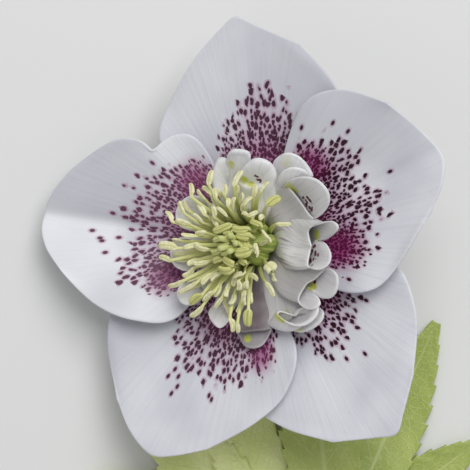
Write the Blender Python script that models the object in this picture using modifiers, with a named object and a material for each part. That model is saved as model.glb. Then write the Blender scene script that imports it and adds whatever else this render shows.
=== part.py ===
"""Hellebore flowering stem, cut and lying on a surface with its one open bloom face up.

Sizes are in millimetres and become metres through MM. The bloom is modelled in its own frame:
its axis is local +Z, and the flower's centre on the receptacle is the local origin. The empty
"bloom_frame" tips that frame. The empty "plant_frame" puts the bottom centre of the whole
part's box at the world origin.
"""

import math
import random

import bmesh
import bpy
from mathutils import Matrix, Vector

MM = 0.001

# Bloom: height of its centre and tip of its axis towards -X
BLOOM_HEIGHT = 9.5
BLOOM_TILT = 20.0

# Sepals: the bowl that they share, their thickness, and the step between overlapping edges
SEPAL_SLOPE = 0.30
SEPAL_FLATTENING = 0.0018
SEPAL_THICKNESS = 0.7
SEPAL_STEP = 1.15
SEPAL_STEP_RADIUS = 9.5
SEPAL_CLAW_RADIUS = 2.4
SEPAL_COLUMNS = 10
SEPAL_ROWS = 12
# Half widths are given at these shares of the length, from claw to shoulder
SEPAL_STATIONS = (0.0, 0.10, 0.25, 0.45, 0.65, 0.85)
SEPAL_TIP_SHOULDER = 0.955

# Each sepal: azimuth of its axis and of its two neighbours' axes, length from the centre, half
# widths to the clockwise and anticlockwise side, half widths of the tip, and which way each side
# lies against its neighbour (1 in front, -1 behind)
SEPALS = {
    "sepal_top": {
        "azimuth": 92.4,
        "clockwise_gap": 70.4,
        "anticlockwise_gap": 81.6,
        "length": 37.9,
        "clockwise": (1.2, 4.6, 12.8, 17.6, 16.4, 10.6),
        "anticlockwise": (1.2, 4.4, 12.2, 15.9, 12.7, 7.0),
        "tip": (3.5, 2.8),
        "clockwise_lies": -1,
        "anticlockwise_lies": -1,
    },
    "sepal_right": {
        "azimuth": 22.0,
        "clockwise_gap": 71.7,
        "anticlockwise_gap": 70.4,
        "length": 36.8,
        "clockwise": (1.2, 4.5, 12.5, 15.4, 12.4, 7.4),
        "anticlockwise": (1.2, 4.5, 11.5, 17.5, 17.3, 12.0),
        "tip": (4.0, 5.5),
        "clockwise_lies": 1,
        "anticlockwise_lies": 1,
    },
    "sepal_lower_right": {
        "azimuth": 310.3,
        "clockwise_gap": 65.7,
        "anticlockwise_gap": 71.7,
        "length": 40.7,
        "clockwise": (1.2, 4.6, 13.0, 17.6, 15.2, 9.4),
        "anticlockwise": (1.2, 4.6, 13.0, 17.2, 15.0, 8.4),
        "tip": (3.4, 3.0),
        "clockwise_lies": -1,
        "anticlockwise_lies": -1,
    },
    "sepal_lower_left": {
        "azimuth": 244.6,
        "clockwise_gap": 70.6,
        "anticlockwise_gap": 65.7,
        "length": 39.6,
        "clockwise": (1.2, 4.6, 13.0, 17.6, 15.7, 9.7),
        "anticlockwise": (1.2, 4.6, 15.0, 17.1, 14.4, 8.9),
        "tip": (5.0, 4.0),
        "clockwise_lies": -1,
        "anticlockwise_lies": 1,
    },
    "sepal_left": {
        "azimuth": 174.0,
        "clockwise_gap": 81.6,
        "anticlockwise_gap": 70.6,
        "length": 37.4,
        "clockwise": (1.2, 5.0, 15.5, 16.0, 15.0, 9.8),
        "anticlockwise": (1.2, 4.6, 13.9, 15.1, 13.4, 8.2),
        "tip": (5.0, 4.4),
        "clockwise_lies": 1,
        "anticlockwise_lies": 1,
    },
}

# Receptacle: (radius, height) of its turned outline, bottom to top
RECEPTACLE_PROFILE = ((1.6, -5.5), (2.2, -3.2), (4.4, -1.0), (4.7, -0.5), (4.3, -0.15),
                      (1.8, 0.05), (1.7, 5.1))
RECEPTACLE_STEPS = 14

COLLAR_STEPS = 24

# Nectary petals: two-lipped cornets on a collar round the receptacle's column
NECTARY_COLLAR = {"inner": 2.3, "outer": 4.3, "low": 2.7, "high": 3.7}
NECTARY_FOOT = (3.7, 3.1)
NECTARY_FOOT_SIZE = (1.0, 0.6)
NECTARY_SPREAD = (0.15, 1.0)
NECTARY_THICKNESS = 0.6
NECTARY_SIDES = 8
NECTARY_LIP_CURL = 0.24
# Rings of a cornet's wall; its mouth is open down to the third of them
NECTARY_SHARES = (0.0, 0.3, 0.58, 0.8, 1.0)
# Each nectary: azimuth, length of the outer lip, of the inner lip, width, opening, elevation
NECTARIES = (
    (4.0, 16.5, 11.0, 9.0, 4.0, 32.0),
    (-24.0, 16.5, 11.5, 9.0, 3.4, 28.0),
    (-50.0, 16.5, 11.5, 10.0, 4.0, 32.0),
    (-78.0, 15.5, 11.0, 9.0, 3.2, 27.0),
    (-106.0, 14.0, 10.0, 7.0, 3.0, 30.0),
    (-133.0, 12.8, 9.2, 8.0, 3.0, 25.0),
    (-160.0, 12.4, 9.0, 8.0, 3.0, 29.0),
    (173.0, 12.4, 9.0, 8.0, 3.0, 25.0),
    (146.0, 12.2, 8.8, 8.0, 3.0, 29.0),
    (120.0, 13.5, 9.5, 7.5, 3.0, 26.0),
    (94.0, 14.5, 10.0, 8.5, 3.4, 31.0),
    (65.0, 15.2, 11.0, 10.0, 3.4, 28.0),
    (35.0, 16.5, 11.0, 9.5, 4.2, 33.0),
)

# A line this close to upright (sine of its lean) takes its sections' sides from Y instead of Z
NEARLY_UPRIGHT = 0.2

# Stamens: filaments with flattened anthers on a collar above the nectaries
STAMEN_COLLAR = {"inner": 2.2, "outer": 3.6, "low": 4.4, "high": 5.3}
STAMEN_RING = (2.9, 3.4)
STAMEN_ROOT = 0.5
STAMEN_COUNT = 54
STAMEN_SIDES = 4
STAMEN_SEED = 11
STAMEN_TURN = 137.508
# From the innermost to the outermost stamen
STAMEN_LEAN = (-1.5, -1.3)
STAMEN_LEAN_SHARE = (0.35, 1.0)
STAMEN_REACH = (2.5, 7.9)
STAMEN_REACH_SPREAD = (0.9, 1.1)
STAMEN_RISE = (9.8, 7.7)
STAMEN_ARCH = 0.3
STAMEN_KNEE = 0.45
# Four-sided sections, given to their corners
FILAMENT_RADIUS = 0.48
ANTHER_HALF_WIDTH = 0.78
ANTHER_HALF_DEPTH = 0.51
ANTHER_NECK = 0.3
ANTHER_LENGTH = 2.5

# Carpels: ovaries fused at their foot, each drawn out into a style
CARPEL_COUNT = 5
CARPEL_SIDES = 8
CARPEL_FOOT_SIDES = 12
CARPEL_TURN = 0.35
CARPEL_RING = 0.8
CARPEL_ROOT = 0.4
CARPEL_FOOT = {"low": 5.6, "height": 2.0, "bottom": 1.9, "top": 1.4}
OVARY_LENGTH = 6.4
OVARY_RADIUS = 1.3
OVARY_SWELL = 0.75
OVARY_SWELL_SPAN = 0.8
# Share of the ovary's length, and its radius there against the full one
OVARY_PROFILE = ((0.0, 0.55), (0.2, 0.9), (0.45, 1.0), (0.75, 0.8), (1.0, 0.34))
STYLE_LENGTH = 4.6
STYLE_RADIUS = 0.38
STYLE_SHARES = (0.35, 0.7, 1.0)
STYLE_BOW = (-0.5, 0.9)

# Stem: points of its middle line (x, y, z, radius), from the bloom down to the cut end
PEDICEL_PATH = ((2.9, -2.6, 3.3, 1.6), (4.2, -6.0, 2.1, 1.6), (5.6, -13.0, 1.5, 1.6),
                (7.0, -28.0, 1.55, 1.7), (8.6, -46.0, 1.9, 1.9), (9.3, -56.0, 2.4, 2.5))
MAIN_STEM_PATH = ((9.3, -56.0, 2.4, 2.6), (10.2, -70.0, 2.6, 2.8), (12.0, -95.0, 2.6, 2.8),
                  (14.5, -122.0, 2.6, 2.8), (15.6, -133.0, 2.6, 2.9))
BUD_STALK_PATH = ((9.4, -58.0, 2.6, 1.9), (15.0, -55.5, 2.6, 1.5), (24.0, -54.0, 3.2, 1.2),
                  (32.0, -51.5, 4.6, 1.2), (37.5, -48.8, 5.4, 1.5))
STEM_BEVEL_RESOLUTION = 2
STEM_STEPS = 3
CAP_WELD = 0.01
SURFACE_CUTTER = 400.0
# Height and radius of the pedicel's first two points, in the bloom's frame
RECEPTACLE_FOOT = ((-3.5, 1.6), (-5.6, 1.6))

# Bud: closed, its tip turned away from the stalk
BUD_CENTRE = (44.9, -45.4, 6.2)
BUD_AZIMUTH = 26.0
BUD_LENGTH = 14.5
BUD_RADIUS = 5.9
BUD_PITCH = 6.0
BUD_SEPALS = 5
BUD_SEGMENTS = 15
BUD_ROWS = 10
BUD_SEAM = 0.1
BUD_TAPER = 0.22

# Bracts: leaflets from a base, each with its azimuth, length, half width and heights along it
LEAFLET_THICKNESS = 0.7
LEAFLET_ROWS = 14
LEAFLET_TOOTH = 0.16
LEAFLET_FOLD = 0.16
LEAFLET_FOOT = 1.2
LEAFLET_TIP = 0.5
# Part of a sine's half wave that the leaflet's width follows from foot to tip
LEAFLET_SPAN = (0.03, 0.97)
BRACTS = {
    "bract_left": {
        "base": (5.2, -55.0),
        "leaflets": (
            (112.0, 45.0, 6.0, (3.6, 2.0, 0.9, 0.9, 1.8)),
            (134.0, 40.0, 7.0, (3.6, 1.7, 0.45, 0.7, 2.0)),
            (157.0, 38.0, 6.0, (3.6, 1.5, 0.5, 1.2, 2.8)),
        ),
    },
    "bract_right": {
        "base": (12.4, -54.0),
        "leaflets": (
            (94.0, 42.0, 6.5, (5.3, 5.1, 4.8, 4.5, 4.4)),
            (66.0, 44.0, 6.5, (5.3, 3.2, 1.2, 0.8, 1.9)),
            (38.0, 32.0, 5.5, (5.3, 2.8, 0.5, 0.8, 2.2)),
        ),
    },
}


def clear_scene():
    for thing in list(bpy.data.objects):
        bpy.data.objects.remove(thing, do_unlink=True)


def make_material(name, colour, roughness):
    material = bpy.data.materials.new(name)
    material.use_nodes = True
    shader = material.node_tree.nodes["Principled BSDF"]
    shader.inputs["Base Color"].default_value = (*colour, 1.0)
    shader.inputs["Roughness"].default_value = roughness
    shader.inputs["Metallic"].default_value = 0.0
    return material


def add_object(name, bm, collection, parent, material):
    """A named object from a bmesh in millimetres, its faces turned outwards."""
    bmesh.ops.recalc_face_normals(bm, faces=bm.faces)
    bmesh.ops.scale(bm, vec=(MM, MM, MM), verts=bm.verts)
    mesh = bpy.data.meshes.new(name)
    bm.to_mesh(mesh)
    bm.free()
    mesh.materials.append(material)
    thing = bpy.data.objects.new(name, mesh)
    collection.objects.link(thing)
    thing.parent = parent
    return thing


def smooth_step(value):
    value = min(max(value, 0.0), 1.0)
    return value * value * (3.0 - 2.0 * value)


def curve_through(points, share):
    """The point at a share of the way along a smooth curve through the given points."""
    last = len(points) - 1
    place = min(max(share, 0.0), 1.0) * last
    index = min(int(place), last - 1)
    t = place - index
    before = points[max(index - 1, 0)]
    start = points[index]
    end = points[index + 1]
    after = points[min(index + 2, last)]
    result = []
    for a, b, c, d in zip(before, start, end, after):
        slope_in = (c - a) / 2.0
        slope_out = (d - b) / 2.0
        square = t * t
        cube = square * t
        value = (2 * cube - 3 * square + 1) * b + (cube - 2 * square + t) * slope_in
        value += (3 * square - 2 * cube) * c + (cube - square) * slope_out
        result.append(value)
    return result


def apply_modifiers(thing):
    """Bakes the object's modifiers into its mesh."""
    bpy.context.view_layer.update()
    graph = bpy.context.evaluated_depsgraph_get()
    baked = bpy.data.meshes.new_from_object(thing.evaluated_get(graph))
    thing.modifiers.clear()
    thing.data = baked


def fuse(target, others, cutters):
    """One Boolean union of the target with a list of objects, applied; the others are removed."""
    gathered = bpy.data.collections.new("union_" + target.name)
    cutters.children.link(gathered)
    for other in others:
        gathered.objects.link(other)
    union = target.modifiers.new("union", "BOOLEAN")
    union.operation = "UNION"
    union.operand_type = "COLLECTION"
    union.collection = gathered
    union.solver = "MANIFOLD"
    apply_modifiers(target)
    for other in others:
        bpy.data.objects.remove(other, do_unlink=True)
    bpy.data.collections.remove(gathered)
    keep_main_body(target)
    return target


def keep_main_body(thing):
    """Fills hollows that the union sealed and drops loose scraps: both are smaller islands."""
    bm = bmesh.new()
    bm.from_mesh(thing.data)
    waiting = set(bm.verts)
    islands = []
    while waiting:
        island = []
        edge_of_island = [waiting.pop()]
        while edge_of_island:
            vert = edge_of_island.pop()
            island.append(vert)
            for edge in vert.link_edges:
                other = edge.other_vert(vert)
                if other in waiting:
                    waiting.remove(other)
                    edge_of_island.append(other)
        islands.append(island)
    islands.sort(key=len)
    for island in islands[:-1]:
        bmesh.ops.delete(bm, geom=island, context="VERTS")
    bm.to_mesh(thing.data)
    bm.free()


def sepal_height(radius):
    return SEPAL_SLOPE * radius - SEPAL_FLATTENING * radius * radius


def sepal_edges(spec):
    """Side and tip lines of a sepal as (across, along) points, clockwise side at +across."""
    length = spec["length"]
    first = SEPAL_CLAW_RADIUS / length
    stations = [first + station * (1.0 - first) for station in SEPAL_STATIONS]
    right = [(width, share * length) for width, share in zip(spec["clockwise"], stations)]
    left = [(-width, share * length) for width, share in zip(spec["anticlockwise"], stations)]
    clockwise_tip, anticlockwise_tip = spec["tip"]
    shoulder = SEPAL_TIP_SHOULDER * length
    top = [left[-1], (-anticlockwise_tip, shoulder), (0.0, length),
           (clockwise_tip, shoulder), right[-1]]
    return left, right, top


def sepal_point(spec, across, along):
    """The sepal's surface: a grid square mapped into its outline and lifted into the bowl."""
    left, right, top = sepal_edges(spec)
    low = curve_through(left, along)
    high = curve_through(right, along)
    x = low[0] + (high[0] - low[0]) * across
    y = low[1] + (high[1] - low[1]) * across
    crown = curve_through(top, across)
    crown_x = left[-1][0] + (right[-1][0] - left[-1][0]) * across
    crown_y = left[-1][1] + (right[-1][1] - left[-1][1]) * across
    x += (crown[0] - crown_x) * along ** 2
    y += (crown[1] - crown_y) * along ** 2
    radius = math.hypot(x, y)
    turn = math.degrees(math.atan2(x, y))
    if turn >= 0.0:
        lies = spec["clockwise_lies"] * turn / (spec["clockwise_gap"] / 2.0)
    else:
        lies = -spec["anticlockwise_lies"] * turn / (spec["anticlockwise_gap"] / 2.0)
    z = sepal_height(radius) + SEPAL_STEP * lies * smooth_step(radius / SEPAL_STEP_RADIUS)
    heading = math.radians(spec["azimuth"] - turn)
    return Vector((radius * math.cos(heading), radius * math.sin(heading), z))


def make_sepal(name, spec, collection, parent, material):
    bm = bmesh.new()
    bmesh.ops.create_grid(bm, x_segments=SEPAL_COLUMNS, y_segments=SEPAL_ROWS, size=0.5)
    for vert in bm.verts:
        vert.co = sepal_point(spec, vert.co.x + 0.5, vert.co.y + 0.5)
    bmesh.ops.triangulate(bm, faces=bm.faces)
    sepal = add_object(name, bm, collection, parent, material)
    thicken(sepal, SEPAL_THICKNESS)
    return sepal


def thicken(thing, thickness):
    wall = thing.modifiers.new("wall", "SOLIDIFY")
    wall.thickness = thickness * MM
    wall.offset = 0.0
    wall.use_even_offset = False
    return wall


def make_collar(name, spec, collection, parent, material):
    """A ring with a rectangular section, turned about the bloom's axis."""
    bm = bmesh.new()
    rings = []
    for step in range(COLLAR_STEPS):
        angle = math.tau * step / COLLAR_STEPS
        cos, sin = math.cos(angle), math.sin(angle)
        section = ((spec["inner"], spec["low"]), (spec["outer"], spec["low"]),
                   (spec["outer"], spec["high"]), (spec["inner"], spec["high"]))
        rings.append([bm.verts.new((r * cos, r * sin, z)) for r, z in section])
    for step in range(COLLAR_STEPS):
        join_rings(bm, rings[step], rings[(step + 1) % COLLAR_STEPS])
    return add_object(name, bm, collection, parent, material)


def join_rings(bm, first, second):
    count = len(first)
    for side in range(count):
        after = (side + 1) % count
        bm.faces.new((first[side], first[after], second[after], second[side]))


def nectary_ring(bm, spec, share, inset):
    """One ring of a cornet's wall at a share of its height, drawn in by the inset."""
    azimuth, outer_lip, inner_lip, width, opening, elevation = spec
    rise = math.radians(elevation)
    turn = Matrix.Rotation(math.radians(azimuth), 3, "Z")
    ring = []
    for side in range(NECTARY_SIDES):
        angle = math.tau * (side + 0.5) / NECTARY_SIDES
        outward = (1.0 - math.cos(angle)) / 2.0
        along = share * between((inner_lip, outer_lip), smooth_step(outward))
        spread = smooth_step(between(NECTARY_SPREAD, along / outer_lip))
        half_width = between((NECTARY_FOOT_SIZE[0], width / 2.0), spread) - inset
        half_depth = between((NECTARY_FOOT_SIZE[1], opening / 2.0), spread) - inset
        depth = -half_depth * math.cos(angle)
        bend = rise + NECTARY_LIP_CURL * outward * (along / outer_lip) ** 2
        x = NECTARY_FOOT[0] + along * math.cos(bend) + depth * math.sin(rise)
        z = NECTARY_FOOT[1] + along * math.sin(bend) - depth * math.cos(rise)
        ring.append(bm.verts.new(turn @ Vector((x, half_width * math.sin(angle), z))))
    return ring


def nectary_bmesh(spec):
    """A flattened cornet, its outer lip longer than its inner one and its mouth pressed in."""
    bm = bmesh.new()
    rings = [nectary_ring(bm, spec, share, 0.0) for share in NECTARY_SHARES]
    rings += [nectary_ring(bm, spec, share, NECTARY_THICKNESS)
              for share in reversed(NECTARY_SHARES[2:])]
    for low, high in zip(rings, rings[1:]):
        join_rings(bm, low, high)
    bm.faces.new(reversed(rings[0]))
    bm.faces.new(rings[-1])
    bmesh.ops.triangulate(bm, faces=bm.faces)
    return bm


def make_nectaries(collection, cutters, parent, material):
    collar = make_collar("nectary_petals", NECTARY_COLLAR, collection, parent, material)
    cornets = []
    for index, spec in enumerate(NECTARIES):
        bm = nectary_bmesh(spec)
        cornets.append(add_object(f"nectary_{index}", bm, cutters, parent, material))
    return fuse(collar, cornets, cutters)


def tube(bm, centres, sections):
    """Joins rings of points set across a line; sections are lists of (side, lift) offsets."""
    rings = []
    for index, centre in enumerate(centres):
        before = centres[max(index - 1, 0)]
        after = centres[min(index + 1, len(centres) - 1)]
        forward = (after - before).normalized()
        side = forward.cross(Vector((0, 0, 1)))
        if side.length < NEARLY_UPRIGHT:
            side = forward.cross(Vector((0, 1, 0)))
        side.normalize()
        lift = side.cross(forward)
        points = [centre + side * a + lift * b for a, b in sections[index]]
        rings.append([bm.verts.new(point) for point in points])
    for low, high in zip(rings, rings[1:]):
        join_rings(bm, low, high)
    bm.faces.new(reversed(rings[0]))
    bm.faces.new(rings[-1])


def ellipse(half_width, half_depth, sides):
    turns = [math.tau * (side + 0.5) / sides for side in range(sides)]
    return [(half_width * math.cos(turn), half_depth * math.sin(turn)) for turn in turns]


def make_stamens(collection, cutters, parent, material):
    collar = make_collar("stamens", STAMEN_COLLAR, collection, parent, material)
    draw = random.Random(STAMEN_SEED)
    stamens = []
    for index in range(STAMEN_COUNT):
        share = (index + 0.5) / STAMEN_COUNT
        angle = math.radians(index * STAMEN_TURN)
        out = Vector((math.cos(angle), math.sin(angle), 0.0))
        up = Vector((0.0, 0.0, 1.0))
        ring = between(STAMEN_RING, share)
        reach = between(STAMEN_REACH, share) * draw.uniform(*STAMEN_REACH_SPREAD)
        lean = Vector((*STAMEN_LEAN, 0.0)) * between(STAMEN_LEAN_SHARE, share)
        start = out * ring + up * (STAMEN_COLLAR["high"] - STAMEN_ROOT)
        rise = STAMEN_COLLAR["high"] + between(STAMEN_RISE, share * share)
        end = out * (ring + reach) + lean + up * rise
        knee = start.lerp(end, STAMEN_KNEE) + up * STAMEN_ARCH * reach
        forward = (end - knee).normalized()
        centres = [bezier((start, knee, end), t) for t in (0.0, 0.5, 1.0)]
        centres += [end + forward * ANTHER_NECK, end + forward * ANTHER_LENGTH]
        filament = ellipse(FILAMENT_RADIUS, FILAMENT_RADIUS, STAMEN_SIDES)
        anther = ellipse(ANTHER_HALF_WIDTH, ANTHER_HALF_DEPTH, STAMEN_SIDES)
        bm = bmesh.new()
        tube(bm, centres, [filament, filament, filament, anther, anther])
        bmesh.ops.triangulate(bm, faces=bm.faces)
        stamens.append(add_object(f"stamen_{index}", bm, cutters, parent, material))
    return fuse(collar, stamens, cutters)


def between(pair, share):
    return pair[0] + (pair[1] - pair[0]) * share


def bezier(line, t):
    return line[0] * (1 - t) ** 2 + line[1] * 2 * t * (1 - t) + line[2] * t * t


def make_carpels(collection, cutters, parent, material):
    bm = bmesh.new()
    middle = CARPEL_FOOT["low"] + CARPEL_FOOT["height"] / 2.0
    bmesh.ops.create_cone(bm, cap_ends=True, segments=CARPEL_FOOT_SIDES, radius1=CARPEL_FOOT["bottom"],
                          radius2=CARPEL_FOOT["top"], depth=CARPEL_FOOT["height"],
                          matrix=Matrix.Translation((0, 0, middle)))
    foot = add_object("carpels", bm, collection, parent, material)
    up = Vector((0.0, 0.0, 1.0))
    style = ellipse(STYLE_RADIUS, STYLE_RADIUS, CARPEL_SIDES)
    carpels = []
    for index in range(CARPEL_COUNT):
        angle = math.tau * (index + CARPEL_TURN) / CARPEL_COUNT
        out = Vector((math.cos(angle), math.sin(angle), 0.0))
        base = out * CARPEL_RING + up * (CARPEL_FOOT["low"] + CARPEL_ROOT)
        centres = []
        sections = []
        for share, fat in OVARY_PROFILE:
            swell = out * OVARY_SWELL * math.sin(math.pi * share * OVARY_SWELL_SPAN)
            centres.append(base + up * OVARY_LENGTH * share + swell)
            sections.append(ellipse(OVARY_RADIUS * fat, OVARY_RADIUS * fat, CARPEL_SIDES))
        top = centres[-1]
        for share in STYLE_SHARES:
            bow = out * (STYLE_BOW[0] * share + STYLE_BOW[1] * share * share)
            centres.append(top + up * STYLE_LENGTH * share + bow)
            sections.append(style)
        bm = bmesh.new()
        tube(bm, centres, sections)
        bmesh.ops.triangulate(bm, faces=bm.faces)
        carpels.append(add_object(f"carpel_{index}", bm, cutters, parent, material))
    return fuse(foot, carpels, cutters)


def curve_tube(name, path, collection, parent, material):
    """A tube along a smooth curve through the path's points, as a mesh with welded caps."""
    steps = STEM_STEPS * (len(path) - 1)
    points = [curve_through(path, step / steps) for step in range(steps + 1)]
    data = bpy.data.curves.new(name, "CURVE")
    data.dimensions = "3D"
    data.bevel_depth = MM
    data.bevel_resolution = STEM_BEVEL_RESOLUTION
    data.use_fill_caps = True
    spline = data.splines.new("POLY")
    spline.points.add(len(points) - 1)
    for point, (x, y, z, radius) in zip(spline.points, points):
        point.co = (x * MM, y * MM, z * MM, 1.0)
        point.radius = radius
    curve = bpy.data.objects.new(name + "_line", data)
    collection.objects.link(curve)
    bpy.context.view_layer.update()
    graph = bpy.context.evaluated_depsgraph_get()
    mesh = bpy.data.meshes.new_from_object(curve.evaluated_get(graph))
    bpy.data.objects.remove(curve, do_unlink=True)
    bm = bmesh.new()
    bm.from_mesh(mesh)
    bmesh.ops.remove_doubles(bm, verts=bm.verts, dist=CAP_WELD * MM)
    bmesh.ops.recalc_face_normals(bm, faces=bm.faces)
    bm.to_mesh(mesh)
    bm.free()
    mesh.materials.clear()
    mesh.materials.append(material)
    thing = bpy.data.objects.new(name, mesh)
    collection.objects.link(thing)
    thing.parent = parent
    return thing


def bloom_matrix():
    tip = Matrix.Rotation(math.radians(-BLOOM_TILT), 4, "Y")
    return Matrix.Translation((0, 0, BLOOM_HEIGHT)) @ tip


def make_receptacle(collection, parent, material):
    """The turned receptacle, its foot running into the pedicel."""
    bm = bmesh.new()
    matrix = bloom_matrix()
    rings = []
    for radius, height in RECEPTACLE_PROFILE:
        ring = []
        for step in range(RECEPTACLE_STEPS):
            angle = math.tau * step / RECEPTACLE_STEPS
            point = Vector((radius * math.cos(angle), radius * math.sin(angle), height))
            ring.append(bm.verts.new(matrix @ point))
        rings.append(ring)
    for low, high in zip(rings, rings[1:]):
        join_rings(bm, low, high)
    bm.faces.new(reversed(rings[0]))
    bm.faces.new(rings[-1])
    return add_object("receptacle", bm, collection, parent, material)


def make_stem(collection, cutters, parent, material):
    stem = curve_tube("stem", MAIN_STEM_PATH, collection, parent, material)
    matrix = bloom_matrix()
    neck = [(*(matrix @ Vector((0, 0, height))), radius) for height, radius in RECEPTACLE_FOOT]
    path = (*neck, *PEDICEL_PATH)
    pedicel = curve_tube("pedicel", path, cutters, parent, material)
    stalk = curve_tube("bud_stalk", BUD_STALK_PATH, cutters, parent, material)
    receptacle = make_receptacle(cutters, parent, material)
    fuse(stem, [pedicel, stalk, receptacle], cutters)
    flatten_underside(stem, cutters)
    return stem


def flatten_underside(stem, cutters):
    """Cuts the stem off level where it lies, which leaves the narrow flat that it rests on."""
    bm = bmesh.new()
    bmesh.ops.create_cube(bm, size=SURFACE_CUTTER)
    bmesh.ops.translate(bm, vec=(0.0, 0.0, -SURFACE_CUTTER / 2.0), verts=bm.verts)
    bmesh.ops.scale(bm, vec=(MM, MM, MM), verts=bm.verts)
    mesh = bpy.data.meshes.new("surface_cutter")
    bm.to_mesh(mesh)
    bm.free()
    cutter = bpy.data.objects.new("surface_cutter", mesh)
    cutters.objects.link(cutter)
    cut = stem.modifiers.new("rest", "BOOLEAN")
    cut.operation = "DIFFERENCE"
    cut.object = cutter
    apply_modifiers(stem)
    bpy.data.objects.remove(cutter, do_unlink=True)


def leaflet_bmesh(base, azimuth, length, half_width, heights):
    """A pointed leaflet with saw-toothed edges, folded a little along its midrib."""
    bm = bmesh.new()
    bmesh.ops.create_grid(bm, x_segments=2, y_segments=LEAFLET_ROWS, size=0.5)
    heading = math.radians(azimuth)
    forward = Vector((math.cos(heading), math.sin(heading), 0.0))
    side = Vector((-forward.y, forward.x, 0.0))
    levels = [(level,) for level in heights]
    for vert in bm.verts:
        across = vert.co.x * 2.0
        along = vert.co.y + 0.5
        row = round(along * LEAFLET_ROWS)
        width = half_width * math.sin(math.pi * between(LEAFLET_SPAN, along))
        width = max(width, LEAFLET_TIP if row == LEAFLET_ROWS else LEAFLET_FOOT)
        if row % 2 == 0 and 2 < row < LEAFLET_ROWS:
            width *= 1.0 - LEAFLET_TOOTH
        fold = LEAFLET_FOLD * abs(across) * width
        z = curve_through(levels, along)[0] + fold
        vert.co = Vector((*base, z)) + forward * length * along + side * across * width
    bmesh.ops.triangulate(bm, faces=bm.faces)
    return bm


def make_bract(name, spec, collection, cutters, parent, material):
    leaflets = []
    for index, leaflet_spec in enumerate(spec["leaflets"]):
        bm = leaflet_bmesh(spec["base"], *leaflet_spec)
        home = collection if index == 0 else cutters
        title = name if index == 0 else f"{name}_{index}"
        leaflet = add_object(title, bm, home, parent, material)
        thicken(leaflet, LEAFLET_THICKNESS)
        apply_modifiers(leaflet)
        leaflets.append(leaflet)
    return fuse(leaflets[0], leaflets[1:], cutters)


def make_bud(collection, parent, material):
    """A closed bud: an egg shape with the seams of its wrapped sepals pressed in."""
    bm = bmesh.new()
    bmesh.ops.create_uvsphere(bm, u_segments=BUD_SEGMENTS, v_segments=BUD_ROWS, radius=1.0)
    for vert in bm.verts:
        height = vert.co.z
        turn = math.atan2(vert.co.y, vert.co.x)
        seam = BUD_SEAM * (0.5 + 0.5 * math.cos(BUD_SEPALS * turn)) * (1.0 - abs(height))
        swell = BUD_RADIUS * (1.0 - seam) * (1.0 - BUD_TAPER * height)
        vert.co.x *= swell
        vert.co.y *= swell
        vert.co.z *= BUD_LENGTH / 2.0
    heading = Matrix.Rotation(math.radians(BUD_AZIMUTH), 4, "Z")
    lie = Matrix.Rotation(math.radians(90.0 - BUD_PITCH), 4, "Y")
    place = Matrix.Translation(BUD_CENTRE) @ heading @ lie
    bmesh.ops.transform(bm, matrix=place, verts=bm.verts)
    bmesh.ops.triangulate(bm, faces=bm.faces)
    return add_object("bud", bm, collection, parent, material)


def rest_at_origin(frame, collection):
    """Moves the frame so that the bottom centre of the part's box is the world origin."""
    bpy.context.view_layer.update()
    graph = bpy.context.evaluated_depsgraph_get()
    points = []
    for thing in collection.objects:
        if thing.type == "MESH":
            shown = thing.evaluated_get(graph)
            points += [shown.matrix_world @ vert.co for vert in shown.data.vertices]
    low = [min(point[axis] for point in points) for axis in range(3)]
    high = [max(point[axis] for point in points) for axis in range(3)]
    frame.location = (-(low[0] + high[0]) / 2.0, -(low[1] + high[1]) / 2.0, -low[2])
    bpy.context.view_layer.update()


def main():
    clear_scene()
    scene = bpy.context.scene
    plant = bpy.data.collections.new("hellebore_stem")
    cutters = bpy.data.collections.new("cutters")
    scene.collection.children.link(plant)
    scene.collection.children.link(cutters)
    plant_frame = bpy.data.objects.new("plant_frame", None)
    plant.objects.link(plant_frame)
    bloom_frame = bpy.data.objects.new("bloom_frame", None)
    plant.objects.link(bloom_frame)
    bloom_frame.location = (0, 0, BLOOM_HEIGHT * MM)
    bloom_frame.rotation_euler = (0, math.radians(-BLOOM_TILT), 0)
    bpy.context.view_layer.update()

    white = make_material("sepal_white", (0.66, 0.66, 0.70), 0.5)
    lilac = make_material("nectary_lilac", (0.60, 0.57, 0.64), 0.5)
    cream = make_material("stamen_cream", (0.70, 0.72, 0.34), 0.6)
    pod_green = make_material("carpel_green", (0.26, 0.36, 0.08), 0.5)
    stalk_green = make_material("stem_green", (0.20, 0.30, 0.08), 0.5)
    leaf_green = make_material("bract_green", (0.28, 0.38, 0.08), 0.5)

    for name, spec in SEPALS.items():
        make_sepal(name, spec, plant, bloom_frame, white)
    make_nectaries(plant, cutters, bloom_frame, lilac)
    make_stamens(plant, cutters, bloom_frame, cream)
    make_carpels(plant, cutters, bloom_frame, pod_green)
    make_stem(plant, cutters, None, stalk_green)
    for name, spec in BRACTS.items():
        make_bract(name, spec, plant, cutters, None, leaf_green)
    make_bud(plant, None, white)

    for thing in plant.objects:
        if thing.parent is None and thing is not plant_frame:
            thing.parent = plant_frame
    rest_at_origin(plant_frame, plant)
    centre = bloom_frame.matrix_world.translation
    print("bloom centre, m:", [round(value, 6) for value in centre])


main()
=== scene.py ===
import math
import random
import bpy
from mathutils import Matrix, Vector


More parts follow.
